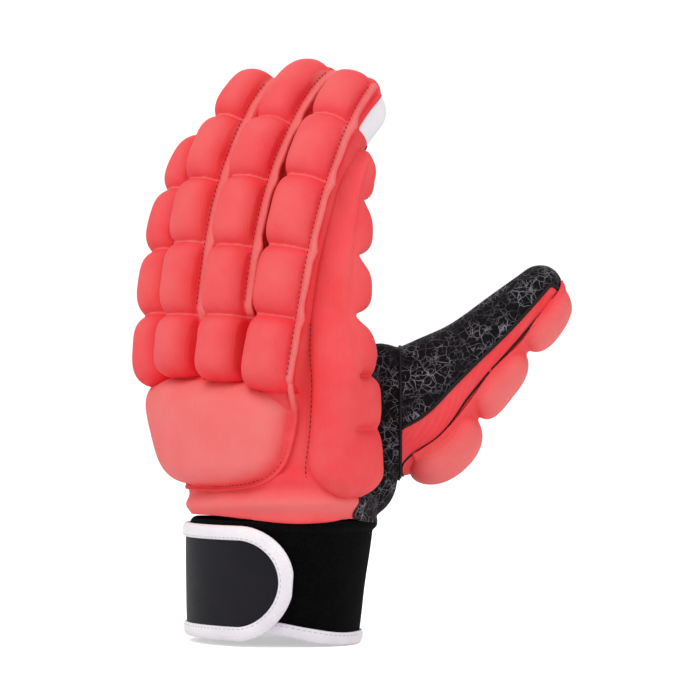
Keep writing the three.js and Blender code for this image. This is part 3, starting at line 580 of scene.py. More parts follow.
class Shader:
    """A material's node tree, with one call per node."""

    def __init__(self, name, **settings):
        self.material = bpy.data.materials.new(name)
        self.material.use_nodes = True
        self.tree = self.material.node_tree
        self.surface = self.tree.nodes["Principled BSDF"]
        for socket, value in settings.items():
            self.surface.inputs[socket.replace("_", " ")].default_value = value

    def node(self, kind, output=0, inputs=None, **properties):
        made = self.tree.nodes.new(kind)
        for key, value in properties.items():
            setattr(made, key, value)
        for socket, value in (inputs or {}).items():
            if isinstance(value, bpy.types.NodeSocket):
                self.tree.links.new(value, made.inputs[socket])
            else:
                made.inputs[socket].default_value = value
        return made.outputs[output]

    def math(self, operation, *values):
        return self.node("ShaderNodeMath", inputs=dict(enumerate(values)), operation=operation)

    def remap(self, value, low, high, start=0.0, end=1.0):
        return self.node("ShaderNodeMapRange", inputs={0: value, 1: low, 2: high, 3: start, 4: end},
                         interpolation_type="SMOOTHSTEP")

    def colour(self, share, first, second):
        return self.node("ShaderNodeMix", output=2, inputs={0: share, 6: first, 7: second}, data_type="RGBA")

    def place(self):
        return self.node("ShaderNodeTexCoord", output=3)

    def noise(self, scale, detail=3, roughness=0.55, vector=None):
        return self.node("ShaderNodeTexNoise", inputs={
            "Vector": vector or self.place(), "Scale": scale, "Detail": detail, "Roughness": roughness})

    def weave(self):
        """The cloth's own coordinates in millimetres: across and along, and the crown value for painted
        highlight, mostly how high on the pad.
        """
        vector = self.node("ShaderNodeAttribute", output=1, attribute_name="weave")
        return [self.node("ShaderNodeSeparateXYZ", output=axis, inputs={0: vector}) for axis in range(3)]

    def wave(self, value, pitch):
        return self.math("SINE", self.math("MULTIPLY", value, 2 * math.pi / pitch))

    def add_up(self, *parts):
        """A weighted sum of (value, weight) parts."""
        total = 0.0
        for value, weight in parts:
            total = self.math("MULTIPLY_ADD", value, weight, total)
        return total

    def finish(self, colour=None, rough=None, height=None, depth=0.1):
        bump = height and self.node("ShaderNodeBump", inputs={"Height": height, "Distance": depth * MM})
        for socket, value in (("Base Color", colour), ("Roughness", rough), ("Normal", bump)):
            if value:
                self.tree.links.new(value, self.surface.inputs[socket])
        return self.material


def knit(name, low, high, sheen, tint, pitch=0.55):
    """Fine stretch knit: ribs along the cloth, and painted highlight: lighter where its crown value is high.
    """
    s = Shader(name, Sheen_Weight=sheen, Sheen_Roughness=0.45, Sheen_Tint=tint, Specular_IOR_Level=0.14)
    across, along, crown = s.weave()
    rib = s.wave(across, pitch)
    row = s.wave(along, pitch * 1.3)
    blotch = s.noise(55, 3)
    fuzz = s.noise(2600, 2)
    # The crown value paints highlight, towards the high colour; the blotches add random tone.
    highlight_and_blotch = s.math("ADD", s.remap(crown, 0.05, 1.0, 0.0, 0.8), s.remap(blotch, 0.3, 0.7, -0.08, 0.08))
    shade = s.math("ADD", highlight_and_blotch, s.add_up((rib, 0.035), (fuzz, 0.06)))
    colour = s.colour(shade, low, high)
    height = s.add_up((rib, 0.3), (row, 0.08), (fuzz, 0.6))
    return s.finish(colour, s.remap(fuzz, 0.3, 0.7, 0.56, 0.68), height, 0.07)


def grip_cloth():
    """Black suede with a light printed net of fine broken lines."""
    s = Shader("grip", Sheen_Weight=0.03, Sheen_Roughness=0.5, Specular_IOR_Level=0.12)
    place = s.place()
    drift = s.node("ShaderNodeTexNoise", output=1, inputs={"Vector": place, "Scale": 170.0, "Detail": 2.0})
    drift = s.node("ShaderNodeVectorMath", inputs={0: drift, 3: 0.004}, operation="SCALE")
    warp = s.node("ShaderNodeVectorMath", inputs={0: place, 1: drift}, operation="ADD")
    nets = []
    for scale, width in ((230.0, 0.05), (430.0, 0.06)):
        edge = s.node("ShaderNodeTexVoronoi", inputs={"Vector": warp, "Scale": scale},
                      feature="DISTANCE_TO_EDGE")
        nets.append(s.remap(edge, 0.0, width, 1.0, 0.0))
    broken = s.remap(s.noise(260, 2), 0.42, 0.6)
    faint = s.remap(s.noise(90, 2), 0.3, 0.7, 0.25, 1.0)
    wide, fine = s.math("MULTIPLY", nets[0], faint), s.math("MULTIPLY", nets[1], broken)
    net = s.math("MULTIPLY", s.math("MAXIMUM", wide, fine), faint)
    suede = s.noise(1500, 3)
    base = s.colour(s.remap(suede, 0.3, 0.7), linear(5, 3, 6), linear(19, 13, 18))
    colour = s.colour(s.math("MULTIPLY", net, 0.8), base, linear(150, 148, 156))
    rough = s.remap(net, 0.0, 1.0, 0.78, 0.42)
    return s.finish(colour, rough, s.add_up((net, 1.0), (suede, 0.5)), 0.12)


def brushed_elastic():
    s = Shader("elastic", Sheen_Weight=0.02, Sheen_Roughness=0.6, Specular_IOR_Level=0.03, Roughness=0.95)
    loops = s.noise(900, 4, 0.7)
    patch = s.noise(120, 3)
    shade = s.add_up((s.remap(loops, 0.35, 0.75), 0.75), (s.remap(patch, 0.4, 0.7), 0.25))
    return s.finish(s.colour(shade, linear(2, 2, 2), linear(14, 14, 14)), None, loops, 0.5)


def rubber_panel():
    s = Shader("panel", Specular_IOR_Level=0.12)
    grain = s.noise(1400, 3)
    patch = s.noise(40, 2)
    colour = s.colour(s.remap(patch, 0.3, 0.7), linear(27, 26, 32), linear(31, 30, 37))
    return s.finish(colour, s.remap(grain, 0.3, 0.7, 0.44, 0.54), grain, 0.05)


def woven_tape():
    """White binding tape with fine ribs across it."""
    s = Shader("tape", Sheen_Weight=0.2, Sheen_Roughness=0.5, Specular_IOR_Level=0.25)
    across, along, _ = s.weave()
    rib = s.wave(along, 0.7)
    warp = s.wave(across, 0.5)
    soil = s.noise(45, 3)
    shade = s.math("ADD", s.remap(soil, 0.35, 0.75), s.math("MULTIPLY", rib, 0.06))
    colour = s.colour(shade, linear(255, 252, 255), linear(244, 238, 248))
    return s.finish(colour, s.remap(soil, 0.3, 0.7, 0.6, 0.72), s.add_up((rib, 0.6), (warp, 0.4)), 0.08)


def thread(name, low, high):
    s = Shader(name, Specular_IOR_Level=0.3, Roughness=0.6)
    twist = s.noise(2200, 2)
    return s.finish(s.colour(twist, low, high), None, twist, 0.05)


# The coral's low colour is a painted shade and its high one a painted light, mixed by the painted highlight
# and by random blotches.
CORAL_PAINTED_SHADE, CORAL_PAINTED_LIGHT = linear(240, 42, 54), linear(242, 126, 124)
foam_knit = knit("foam_knit", CORAL_PAINTED_SHADE, CORAL_PAINTED_LIGHT, 0.03, linear(255, 190, 185))
back_knit = knit("back_knit", CORAL_PAINTED_SHADE, CORAL_PAINTED_LIGHT, 0.03, linear(255, 190, 185))
tip_knit = knit("tip_knit", linear(244, 242, 250), linear(252, 250, 254), 0.1, linear(255, 255, 255), 0.5)
grip = grip_cloth()
elastic = brushed_elastic()
panel = rubber_panel()
tape = woven_tape()
coral_thread = thread("coral_thread", linear(120, 22, 26), linear(160, 40, 42))
white_thread = thread("white_thread", linear(196, 190, 202), linear(222, 217, 228))
dark_thread = thread("dark_thread", linear(70, 14, 18), linear(96, 22, 26))
black_thread = thread("black_thread", linear(8, 5, 8), linear(22, 14, 18))


def dress(thing, material, slot, *nodes, fill=None):
    """Gives a piece its material and hides the solids it stands for; slot, its kind of surface, is not used.
    """
    thing.data.materials.clear()
    thing.data.materials.append(material)
    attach(thing, "root")
    if nodes:
        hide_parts(*nodes)


# Foam cells

CELL_ANGLES = np.radians(np.arange(0, 360, 5))
CELL_RINGS = np.radians(np.linspace(0, 90, 19)[1:])


def cell(place, along, half_width, half_length, height, foot, square=4.4, roundness=3.3, full=0.44, cut=0):
    """A pillow on a rounded square, put on its host by place(across, along, height).

    With a cut it is broader on the side towards the thumb and ends straight there.
    """
    reach = np.sin(CELL_RINGS)[:, None]
    rise = (1 - reach ** roundness) ** full
    x = power(np.cos(CELL_ANGLES), 2 / square) * half_width
    y = power(np.sin(CELL_ANGLES), 2 / square) * half_length
    if cut:
        x = np.where(x > 0, x * CUT_BREADTH, x)
    inside = np.minimum(x * reach, cut or half_width)
    rings = place(inside, along + y * reach, height * rise)
    last = place(inside[-1], along + y, np.full(len(x), foot))
    return tube(np.concatenate([rings, last[None]]))


def roll(path, radius, sides=10):
    """A round cord along a path, with one radius or one for each point."""
    ahead = unit(np.gradient(path, axis=0))
    side = unit(np.cross(ahead, [0.31, 0.17, 0.93]))
    up = np.cross(ahead, side)
    turns = (np.arange(sides) * 2 * math.pi / sides)[None, :, None]
    rings = (np.cos(turns) * side[:, None] + np.sin(turns) * up[:, None]) * np.reshape(radius, (-1, 1, 1))
    return tube(path[:, None] + rings)


def saddle_drop(across):
    return SADDLE_RADIUS - np.sqrt(np.maximum(SADDLE_RADIUS ** 2 - across ** 2, 0))


def saddle(form):
    """A finger's padded strip rides on a shallow saddle over its back."""
    def place(across, along, height):
        across, along, height = broadcast(across, along, height)
        s = form.station(along)
        rise = s["rear"] - saddle_drop(across) + height
        return s["centre"] + s["side"] * across[..., None] + s["back"] * rise[..., None]
    return place


def spine_only(form):
    """The same form without its end dome, so that strips run straight on past its tip."""
    keep = len(form.along) - len(DOME_TURNS)
    sizes = {key: v[:keep] for key, v in form.sizes.items()}
    return Form(form.along[:keep], form.axes["centre"][:keep], form.axes["side"][:keep],
                form.axes["back"][:keep], **sizes)


def column_place(points, form):
    """Where points lie on a finger's strip: across, along and over its saddle."""
    _, along, _ = form.locate(points)
    s = form.station(along)
    offset = points - s["centre"]
    across = (offset * s["side"]).sum(1)
    return across, along, (offset * s["back"]).sum(1) - s["rear"] + saddle_drop(across)


stitch_lines = {"coral": [], "painted_shadow": [], "white": []}

def column_taper(along, end):
    return lerp(1, 0.83, smoothstep(along, end - 40, end))


def finger_column(name):
    finger = FINGERS[name]
    form = spine_only(fingers[name])
    place = saddle(form)
    start = finger["start"] * FINGER_REACH
    end = finger["reach"] * FINGER_REACH - FINGERTIP_BARE
    bounds = start + np.concatenate([[0], np.cumsum(finger["cells"])]) * (end - start)
    half = finger["broad"] * PAD_BREADTH / 2
    bodies = []
    for i, (low, high) in enumerate(zip(bounds, bounds[1:])):
        breadth = half * column_taper((low + high) / 2, end)
        bodies.append(cell(place, (low + high) / 2, breadth * (0.96 if i == 0 else 1),
                           (high - low) / 2 + PAD_LAP, FLANGE_THICKNESS + PAD_HEIGHT, -1.2, cut=breadth))

    # the sewn edge shows as a ridge on the thumb side, wider where two cells meet
    alongs = np.linspace(start - FLANGE_LEAD, end, 180)
    swelled = sum(np.exp(-((alongs - bound) / 3.4) ** 2) for bound in bounds[1:-1])
    opened = smoothstep(alongs, *RIDGE_STARTS[name])
    ridge = lerp(0.4, FLANGE_RIDGE[name] + FLANGE_SWELL * swelled + 0.25 * np.sin(alongs / 4.1), opened)
    side = half * column_taper(alongs, end)[:, None]
    across = lerp(-side - FLANGE_FAR[name], side + ridge[:, None], np.linspace(0, 1, 41)[None])
    towards_edge = smoothstep(across, side - 4, side - 1)
    shelf = lerp(-FLANGE_DIP, FLANGE_LIFT, opened[:, None]) * towards_edge
    if FLANGE_FAR[name] > 1:
        shelf += FLANGE_FAR_LIFT * opened[:, None] * smoothstep(-across, side - 4, side - 1)
    shelf += saddle_drop(np.maximum(np.abs(across), side)) - saddle_drop(side)
    top = FLANGE_THICKNESS + shelf
    wall = lerp(1.7, FLANGE_WALL[name], towards_edge)
    bodies.append(box_sheet(place(across, alongs[:, None], top), place(across, alongs[:, None], top - wall)))
    column = fused(f"{name}_column", bodies, PAD_VOXEL, 5)
    swell(column, ripple(coordinates(column), 0.12, 17, len(name)))
    across, along, high = column_place(coordinates(column), form)
    edge = half * column_taper(along, end)
    # Painted highlight: lighter on the cells' tops, on the ridge, and in a thin line along each crease
    # between cells.
    ridge_highlight = smoothstep(across, edge - 0.2, edge + 0.8) * (along > RIDGE_STARTS[name][0] + 1)
    level = high + saddle_drop(np.minimum(edge, 18)) - saddle_drop(np.clip(across, edge, 18))
    ridge_highlight *= smoothstep(level, FLANGE_LIFT - 1.5, FLANGE_LIFT)
    crease_highlight = sum(np.exp(-((along - bound) / 0.5) ** 2) for bound in bounds[1:-1])
    crown = np.maximum.reduce([0.56 * high / (PAD_HEIGHT + FLANGE_THICKNESS), ridge_highlight, 0.8 * crease_highlight])
    lay_weave(column, across, along, np.clip(crown, 0, 1))
    run = np.linspace(RIDGE_STARTS[name][1], end - 4, 260)
    seam = place(half * column_taper(run, end) + 0.75, run, FLANGE_THICKNESS + FLANGE_LIFT + 1.7)
    stitch_lines["coral"].append(seam)
    nodes = [f"{name}_pad_{i + 1}" for i in range(len(finger["cells"]))]
    dress(column, foam_knit, "foam_pads", *nodes, fill=0.85)


for finger_name in FINGERS:
    finger_column(finger_name)


# The pad on the back of the hand

pad_half = (HAND_PAD["high"] - HAND_PAD["low"]) * knuckle_rise / 2
pad_middle = HAND_PAD["low"] * knuckle_rise + pad_half


def hand_pad_place(across, along, height):
    across, along, height = broadcast(across, along, height)
    climb = (along - pad_middle) / pad_half
    turn = lerp(HAND_PAD["foot"], 1, np.clip((climb + 1) / 2, 0, 1)) * across
    crown = np.maximum(climb, 0) * HAND_PAD["crown"] * knuckle_rise * np.cos(
        np.clip(across / HAND_PAD["half"], -1, 1) * math.pi / 2)
    return hand.at(HAND_PAD["centre"] + turn, along + crown, height)


def hand_pad_square(turns):
    return np.where(np.sin(turns) > 0, HAND_PAD["square"][1], HAND_PAD["square"][0])


def hand_pad_edge(turns, share):
    square = 2 / hand_pad_square(turns)
    x = power(np.cos(turns), square) * HAND_PAD["half"] * share
    return x, power(np.sin(turns), square) * pad_half * (share + 0.05 * (share > 1.05))


def joining_roll():
    """The index finger's ridge runs on down into the pad's sewn edge."""
    place = saddle(spine_only(fingers["index"]))
    start = FINGERS["index"]["start"] * FINGER_REACH
    stops = [place(np.array(PAD_BREADTH / 2 - inward), start + up, FLANGE_THICKNESS + FLANGE_LIFT - sunk)
             for up, inward, sunk in ((15, 1.2, 3.4), (6, 0.1, 1.5))]
    stops += [hand_pad_place(HAND_PAD["half"] * 1.04, pad_middle + climb * pad_half, 1.6)
              for climb in (0.45, 0.2, -0.05)]
    share = np.linspace(0, len(stops) - 1, 60)
    return roll(np.stack([eased(range(len(stops)), axis, share) for axis in np.array(stops).T], 1), 1.5)


def hand_pad():
    pad = cell(hand_pad_place, pad_middle, HAND_PAD["half"], pad_half, HAND_PAD_HEIGHT, -2,
               hand_pad_square(CELL_ANGLES), *HAND_PAD["form"])
    x, y = hand_pad_edge(np.arange(160) * 2 * math.pi / 160, HAND_PAD["rim"])
    shares = np.linspace(0.05, 1, 40)[:, None]
    lip = 1.9 + 1.3 * smoothstep(shares, 0.93, 0.99)
    over = hand_pad_place(x * shares, pad_middle + y * shares, lip)
    under = hand_pad_place(x * shares[::-1], pad_middle + y * shares[::-1], lip[::-1] - 2.4)
    bodies = [pad, tube(np.concatenate([over, under])), joining_roll()]
    thing = fused("back_of_hand_pad", bodies, PAD_VOXEL, 5)
    points = coordinates(thing)
    swell(thing, ripple(points, 0.25, 26, 5))
    turn, along, off = hand.locate(points)
    # Painted highlight: lighter the higher the pad stands over the hand.
    lay_weave(thing, np.radians(turn) * 38, along, 0.25 + 0.75 * np.clip(off / HAND_PAD_HEIGHT, 0, 1))
    x, y = hand_pad_edge(np.linspace(-math.pi, math.pi * 0.2, 420), 1.015)
    stitch_lines["coral"].append(hand_pad_place(x, pad_middle + y, 2.2))
    dress(thing, foam_knit, "foam_pads", "hand_pad", fill=0.8)


hand_pad()


# The padded strip down the index side

def side_host(across, run, height):
    """Runs from the hand's edge onto the index finger."""
    across, run, height = broadcast(across, run, height)
    rise = np.minimum(run, 1) * knuckle_rise + np.maximum(run - 1, 0) * index_reach
    share = smoothstep(run, *SIDE_BLEND)[..., None]
    on_finger = fingers["index"].at(across, rise - knuckle_rise, height)
    return lerp(hand.at(across, rise, height), on_finger, share)


def run_length(run):
    """How far up the glove a run is, in millimetres."""
    return np.minimum(run, 1) * knuckle_rise + np.maximum(run - 1, 0) * index_reach


def smoothed(rows, times):
    """Rows of points, each drawn towards its neighbours, with the first and last few kept."""
    result = rows.copy()
    for _ in range(times):
        result[3:-3] = (result[:-6] + result[3:-3] + result[6:]) / 3
    return result


def side_strip():
    runs = np.linspace(SIDE_RUNS[0], SIDE_RUNS[-1], 300)
    middles = (np.array(SIDE_RUNS[:-1]) + np.array(SIDE_RUNS[1:])) / 2
    tall = eased(middles, SIDE_TALL, runs) * SIDE_PAD_HEIGHT
    front, back = eased(middles, SIDE_FRONT, runs), eased(middles, SIDE_BACK, runs)
    place_mm = run_length(runs)
    bounds = run_length(np.array(SIDE_RUNS))
    i = np.clip(np.searchsorted(bounds, place_mm, side="right") - 1, 0, len(bounds) - 2)
    local = 2 * (place_mm - bounds[i]) / (bounds[i + 1] - bounds[i]) - 1
    pillow = np.maximum(1 - np.abs(local * 0.965) ** 2.8, 0) ** 0.38
    ends = np.minimum(place_mm - bounds[0], bounds[-1] - place_mm)
    cap = np.clip(ends / 11, 0, 1)
    narrow = np.sqrt(1 - (1 - cap) ** 2)[:, None]
    s = np.linspace(0, 1, 64)[None]
    middle, half = ((front + back) / 2)[:, None], ((back - front) / 2)[:, None]
    across = middle + (2 * s - 1) * half * np.maximum(narrow, 0.05)
    # a stitched step along the hand's panel, which runs out into a hollow beside the finger
    on_finger = smoothstep(runs, 0.85, 1.2)[:, None]
    stepped = lerp(0.3, 1, 1 - (1 - np.clip(s / 0.6, 0, 1)) ** 2.2)
    body = lerp(stepped, lerp(0.1, 1, smoothstep(s, 0.02, 0.72)), on_finger)
    edge = (1 - np.abs(2 * s - 1) ** 7) ** 0.42
    on_hand = 0.8 * smoothstep(s, 0.4, 0.6) * (1 - 0.7 * smoothstep(s, 0.7, 0.95))
    outer = lerp(on_hand, smoothstep(s, 0.44, 0.74), on_finger)
    height = tall[:, None] * body * edge * (1 - outer * (1 - pillow[:, None])) * narrow ** 0.6
    height += SIDE_RIDGE * np.exp(-((s - 0.34) / 0.06) ** 2) * lerp(0.3, 1, on_finger) * narrow
    base = side_host(across, runs[:, None], 0)
    even = smoothed(base, 40) - base
    over = side_host(across, runs[:, None], height) + even
    under = side_host(across, runs[:, None], -3.5) + even
    thing = fused("side_strip", [box_sheet(over, under)], PAD_VOXEL, 6)
    points = coordinates(thing)
    swell(thing, ripple(points, 0.2, 30, 9))
    lay_weave(thing, points @ unit(np.array([1.0, 1.0, 0])), points[:, 2], 0.45)
    sewn = (runs < 1.15) & (ends > 6)
    edge = (middle - half * narrow)[sewn, 0] - 0.6
    stitch_lines["coral"].append(side_host(edge, runs[sewn] - 0.01, 1.3))
    dress(thing, foam_knit, "foam_pads", *[f"side_pad_{n + 1}" for n in range(6)], fill=0.7)


side_strip()


# The thumb's padded strip

def thumb_strip():
    bodies = []
    for start, end, tall, half in THUMB_CELLS:
        middle, length = (start + end) / 2 * thumb.end, (end - start) * thumb.end / 2 - 0.8
        bodies.append(cell(thumb.at, middle, half, length, tall * THUMB_PAD_HEIGHT, -2, 3.4, 2.6, 0.47))
    alongs = np.linspace(THUMB_CELLS[0][0] + 0.03, THUMB_CELLS[-1][1] + 0.005, 90) * thumb.end
    half = THUMB_EDGE["half"] + THUMB_EDGE["uneven"] * np.sin(alongs / THUMB_EDGE["wave"])
    turns = np.linspace(-1, 1, 40)[None] * half[:, None]
    lift = 0.5 + 0.5 * smoothstep(np.abs(turns), 38, 50)
    over, under = (thumb.at(turns, alongs[:, None], lift + rise) for rise in (1.4, -0.2))
    bodies.append(box_sheet(over, under))
    thing = fused("thumb_strip", bodies, PAD_VOXEL, 3)
    points = coordinates(thing)
    turn, along, off = thumb.locate(points)
    # Painted highlight: lighter the higher a point stands on the thumb's cells.
    lay_weave(thing, np.radians(turn) * 15, along, 0.3 + 0.6 * np.clip(off / THUMB_PAD_HEIGHT, 0, 1))
    low, high = THUMB_CELLS[0][0] * thumb.end - 1.2, alongs[-1]
    line = np.linspace(0, 2 * math.pi, 500)
    turns, alongs = power(np.cos(line), 0.3) * THUMB_EDGE["seam"], 0.5 + 0.5 * power(np.sin(line), 0.3)
    # A black line of overlapping threads just past the flange's edge round the thumb's cells: a painted
    # shadow for the gap under that edge.
    stitch_lines["painted_shadow"].append(thumb.at(turns, lerp(low, high, alongs), 0.5))
    dress(thing, foam_knit, "foam_pads", *[f"thumb_pad_{n + 1}" for n in range(3)], fill=0.85)


thumb_strip()


# The cloth shell: one skin round the hand, the fingers and the thumb, cut into its panels

def fan_field(form, points, low, high, turns, past):
    """Above 0 inside a panel that lies on a form between two angles, in millimetres off its edge."""
    turn, along, off = form.locate(points)
    radius = form.station(along)["half_width"]
    return np.minimum.reduce([np.radians(turns[1] - turn) * radius, np.radians(turn - turns[0]) * radius,
                              along - low, high - along, past - off])


def wrist_folds(points):
    """Soft gathers above the cuff, where the elastic draws the cloth in."""
    turn, along, _ = hand.locate(points)
    climb = along / 22
    shown = np.clip(1 - climb, 0, 1)
    phase = np.radians(turn)
    roll = 3.4 * np.exp(-((along - 5.5 - 1.2 * np.sin(phase * 1.5)) / 3.6) ** 2)
    fold = 1.8 * np.exp(-((along - 14 - 2.5 * np.sin(phase * 2 + 0.6)) / 3.2) ** 2)
    gather = 0.45 * np.sin(phase * 9 + np.sin(phase * 4) * 2 + along / 6) * shown
    back = 1 - smoothstep(np.abs(turn), 85, 125)
    flare = lerp(0.5, 1.6, back) * np.exp(-((along + 2.5) / 3.5) ** 2)
    return ((roll + fold * (0.7 + 0.3 * np.sin(phase * 3))) * back + flare + gather) * (along < 40)


def ball(centre, radii, steps=18):
    """Rings of an ellipsoid with upright axes."""
    climb = np.radians(np.linspace(-85, 85, steps))[:, None]
    turn = np.radians(np.arange(0, 360, 12))[None]
    climb, turn = broadcast(climb, turn)
    rings = np.stack([np.cos(climb) * np.cos(turn), np.cos(climb) * np.sin(turn), np.sin(climb)], -1)
    return tube(np.asarray(centre) + rings * np.asarray(radii))


def web():
    outs, rises = np.array(WEB["out"]) * HAND_BREADTH, np.array(WEB["rise"]) * HAND_LENGTH
    share = np.linspace(0, 2, 14)
    out, rise, radius = (eased(range(3), values, share) for values in (outs, rises, WEB["radius"]))
    centre = thumb_out * out[:, None] + np.outer(rim[2] + rise - radius, UPWARDS)
    turn = np.radians(np.arange(0, 360, 10))[None, :, None]
    ring = np.cos(turn) * thumb_away * 0.75 + np.sin(turn) * UPWARDS
    return tube(centre[:, None] + radius[:, None, None] * ring)


def fingertip(name, below, sideways, outwards, radius):
    form = fingers[name]
    s = form.station(np.array(form.end - below))
    return ball(s["centre"] + s["side"] * sideways + s["back"] * outwards, [radius] * 3)


def hem_rise(points):
    """How far over the rim the back's cloth ends, in a shallow wave."""
    turn = np.radians(hand.locate(points)[0])
    wave = 0.8 - 2.4 * np.exp(-((turn - 0.75) / 0.6) ** 2) + 0.3 * np.sin(3 * turn + 1)
    return lerp(-2.2, wave, smoothstep(np.cos(turn), -0.35, 0.1))


def thumb_side(points):
    """Above 0 past the upright seam of the thumb."""
    return np.minimum(points @ thumb_out - THUMB_SEAM, 14 - thumb.locate(points)[2])


def shell():
    below = -6.0
    bodies = [tube(hand.rings([below, *np.linspace(0, hand.end, 60)], 96))]
    bodies += [tube(form.rings(form.along, 56)) for form in fingers.values()]
    bodies.append(tube(thumb.rings(thumb.along, 64)))
    bodies += [web(), ball(thumb_out * HEEL["out"] + UPWARDS * (rim[2] + HEEL["over"]), HEEL["radii"])]
    bodies += [fingertip(name, *hood) for name, hood in FINGERTIP_HOODS.items()]
    skin = fused("skin", bodies, SHELL_VOXEL, 10)
    points = coordinates(skin)
    swell(skin, 0.35 + ripple(points, 0.22, 24, 3) + wrist_folds(points))
    points = coordinates(skin)
    skin.data.calc_loop_triangles()
    faces = np.empty(len(skin.data.loop_triangles) * 3, int)
    skin.data.loop_triangles.foreach_get("vertices", faces)
    faces = faces.reshape(-1, 3)
    bpy.data.objects.remove(skin)
    points, faces, _, _ = cut_along(points, faces, points[:, 2] - rim[2] - hem_rise(points))

    index = fingers["index"]
    root = ROOT_STATIONS[0][0] * FINGER_REACH
    gusset = fan_field(index, points, GUSSET["low"] * index_reach, GUSSET["high"] * index_reach,
                       (GUSSET["front"], GUSSET["back"]), 3)
    points, tip, faces, _ = cut_along(points, faces, gusset)
    back_low, back_high = BACK_CLOTH["hand"]
    _, rise, _ = hand.locate(points)
    back_high = lerp(WRIST_BACK_EDGE, back_high, smoothstep(rise, 1, 20))
    regions = [fan_field(hand, points, -20, HAND_LENGTH, (back_low, back_high), 5)]
    for name, form in fingers.items():
        turns = BACK_CLOTH["tip" if name == "index" else "finger"]
        regions.append(fan_field(form, points, root, form.end + 9, turns, 9))
    regions.append(fan_field(index, points, root, GUSSET["low"] * index_reach, BACK_CLOTH["index"], 3))
    points, back, faces, back_seam = cut_along(points, faces, np.maximum.reduce(regions))
    low, high = THUMB_STRIP["start"] * thumb.end, THUMB_STRIP["end"] * thumb.end
    field = fan_field(thumb, points, low, high, (-THUMB_STRIP["half"], THUMB_STRIP["half"]), 4)
    field = np.minimum(field, points @ thumb_out - THUMB_SEAM)
    points, strip, palm, thumb_seam = cut_along(points, faces, field)
    points, grip_thumb, palm, web_seam = cut_along(points, palm, thumb_side(points))
    parts = {"tip": tip, "back": back, "thumb": strip, "palm": palm, "grip_thumb": grip_thumb}
    return points, parts, {"back": back_seam, "thumb": thumb_seam, "web": web_seam}


def panel_piece(name, points, faces, material, slot, *nodes):
    """One panel of the shell, with its own thickness."""
    used, index = np.unique(faces, return_inverse=True)
    thing = make(name, points[used], index.reshape(-1, 3))
    wall = thing.modifiers.new("wall", "SOLIDIFY")
    wall.thickness = CLOTH_WALL * MM
    wall.offset = -1
    evaluate(thing)
    points = coordinates(thing)
    turn = np.arctan2(points[:, 0], -points[:, 1])
    # Painted highlight: a lighter band round the wrist roll, about 6 mm over the rim.
    crown = 0.4 + 0.5 * np.exp(-((points[:, 2] - rim[2] - 6) / 5) ** 2)
    lay_weave(thing, turn * 38, points[:, 2], crown)
    dress(thing, material, slot, *nodes)


def piping(name, points, seams, radius, material, shortest=14):
    """A rolled edge of thread along seams, each given as segments between point numbers."""
    bodies = []
    for line in (line for segments in seams for line in chains(segments)):
        path = points[line]
        for _ in range(12):
            path[1:-1] = (path[:-2] + 2 * path[1:-1] + path[2:]) / 4
        length = lengths_along(path)[-1]
        if length >= shortest:
            bodies.append(roll(sampled(path, np.linspace(0, length, int(length / 1.1) + 2)), radius, 8))
    dress(make(name, *merged(bodies)), material, None)


shell_points, shell_parts, shell_seams = shell()
piping("back_seam", shell_points, [shell_seams["back"]], 0.5, dark_thread)
piping("thumb_seams", shell_points, [shell_seams["thumb"], shell_seams["web"]], 0.75, black_thread)
panel_piece("back_cloth", shell_points, shell_parts["back"], back_knit, "back_cloth",
            "back_panel", *(f"{name}_back" for name in FINGERS))
panel_piece("thumb_cloth", shell_points, shell_parts["thumb"], back_knit, "back_cloth", "thumb_back")
panel_piece("grip_cloth", shell_points, shell_parts["palm"], grip, "palm_grip",
            "palm_panel", *(f"{name}_front" for name in FINGERS))
panel_piece("thumb_grip", shell_points, shell_parts["grip_thumb"], grip, "palm_grip", "thumb_front")
panel_piece("tip_cloth", shell_points, shell_parts["tip"], tip_knit, "tip_cloth", "index_tip_gusset")


# The cuff

cuff_share = np.linspace(0, 1, 20)
cuff_scale = lerp(CUFF_TAPER, 1, cuff_share)
cuff = Form(cuff_share * rim[2], cuff_share[:, None] * rim[None], SIDEWAYS, BACKWARDS,
            half_width=cuff_scale * CUFF_BREADTH / 2, rear=cuff_scale * CUFF_DEPTH / 2,
            fore=cuff_scale * CUFF_DEPTH / 2, square=HAND_SECTIONS["square"][0], arch=0)


def hem_drawn(points):
    """The strap pulls the cuff's lower edge up on its side."""
    sideways = points[..., 0] + points[..., 1]
    lift = HEM_DRAWN * smoothstep(-sideways, -46, 10) * (1 - smoothstep(points[..., 2], 4, 36))
    return points + lift[..., None] * UPWARDS


def revolve(name, profile, uneven=0.0, seed=1):
    """A closed band round the cuff, from a profile of (height, rise)."""
    height, rise = np.array(profile, float).T
    turns = np.arange(CUFF_STEPS) * 360 / CUFF_STEPS
    points = hem_drawn(cuff.at(turns[:, None], rise[None], height[None]))
    thing = make(name, points.reshape(-1, 3), strip_faces(CUFF_STEPS, len(profile), True, True)[:, ::-1])
    if uneven:
        swell(thing, ripple(coordinates(thing), uneven, 19, seed))
    girth = np.radians(np.repeat(turns, len(profile))) * CUFF_BREADTH / 2
    lay_weave(thing, np.tile(rise, CUFF_STEPS), girth, 0.5)
    return thing


def arc(centre, radius, start, end, count):
    turns = np.radians(np.linspace(start, end, count))
    return [(centre[0] + radius * math.cos(t), centre[1] + radius * math.sin(t)) for t in turns]


cuff_foot = BINDING_THICKNESS + SEAM_GAP
cuff_profile = [(0, z) for z in np.linspace(cuff_foot, CUFF_HEIGHT - 6, 26)]
cuff_profile += arc((-0.5, CUFF_HEIGHT - 3.2), RIM_ROLL, -55, 120, 14)
cuff_profile += [(-CUFF_WALL, z) for z in np.linspace(CUFF_HEIGHT - 2, cuff_foot, 24)]
dress(revolve("cuff_band", cuff_profile, 0.18), elastic, "cuff_elastic", "cuff")

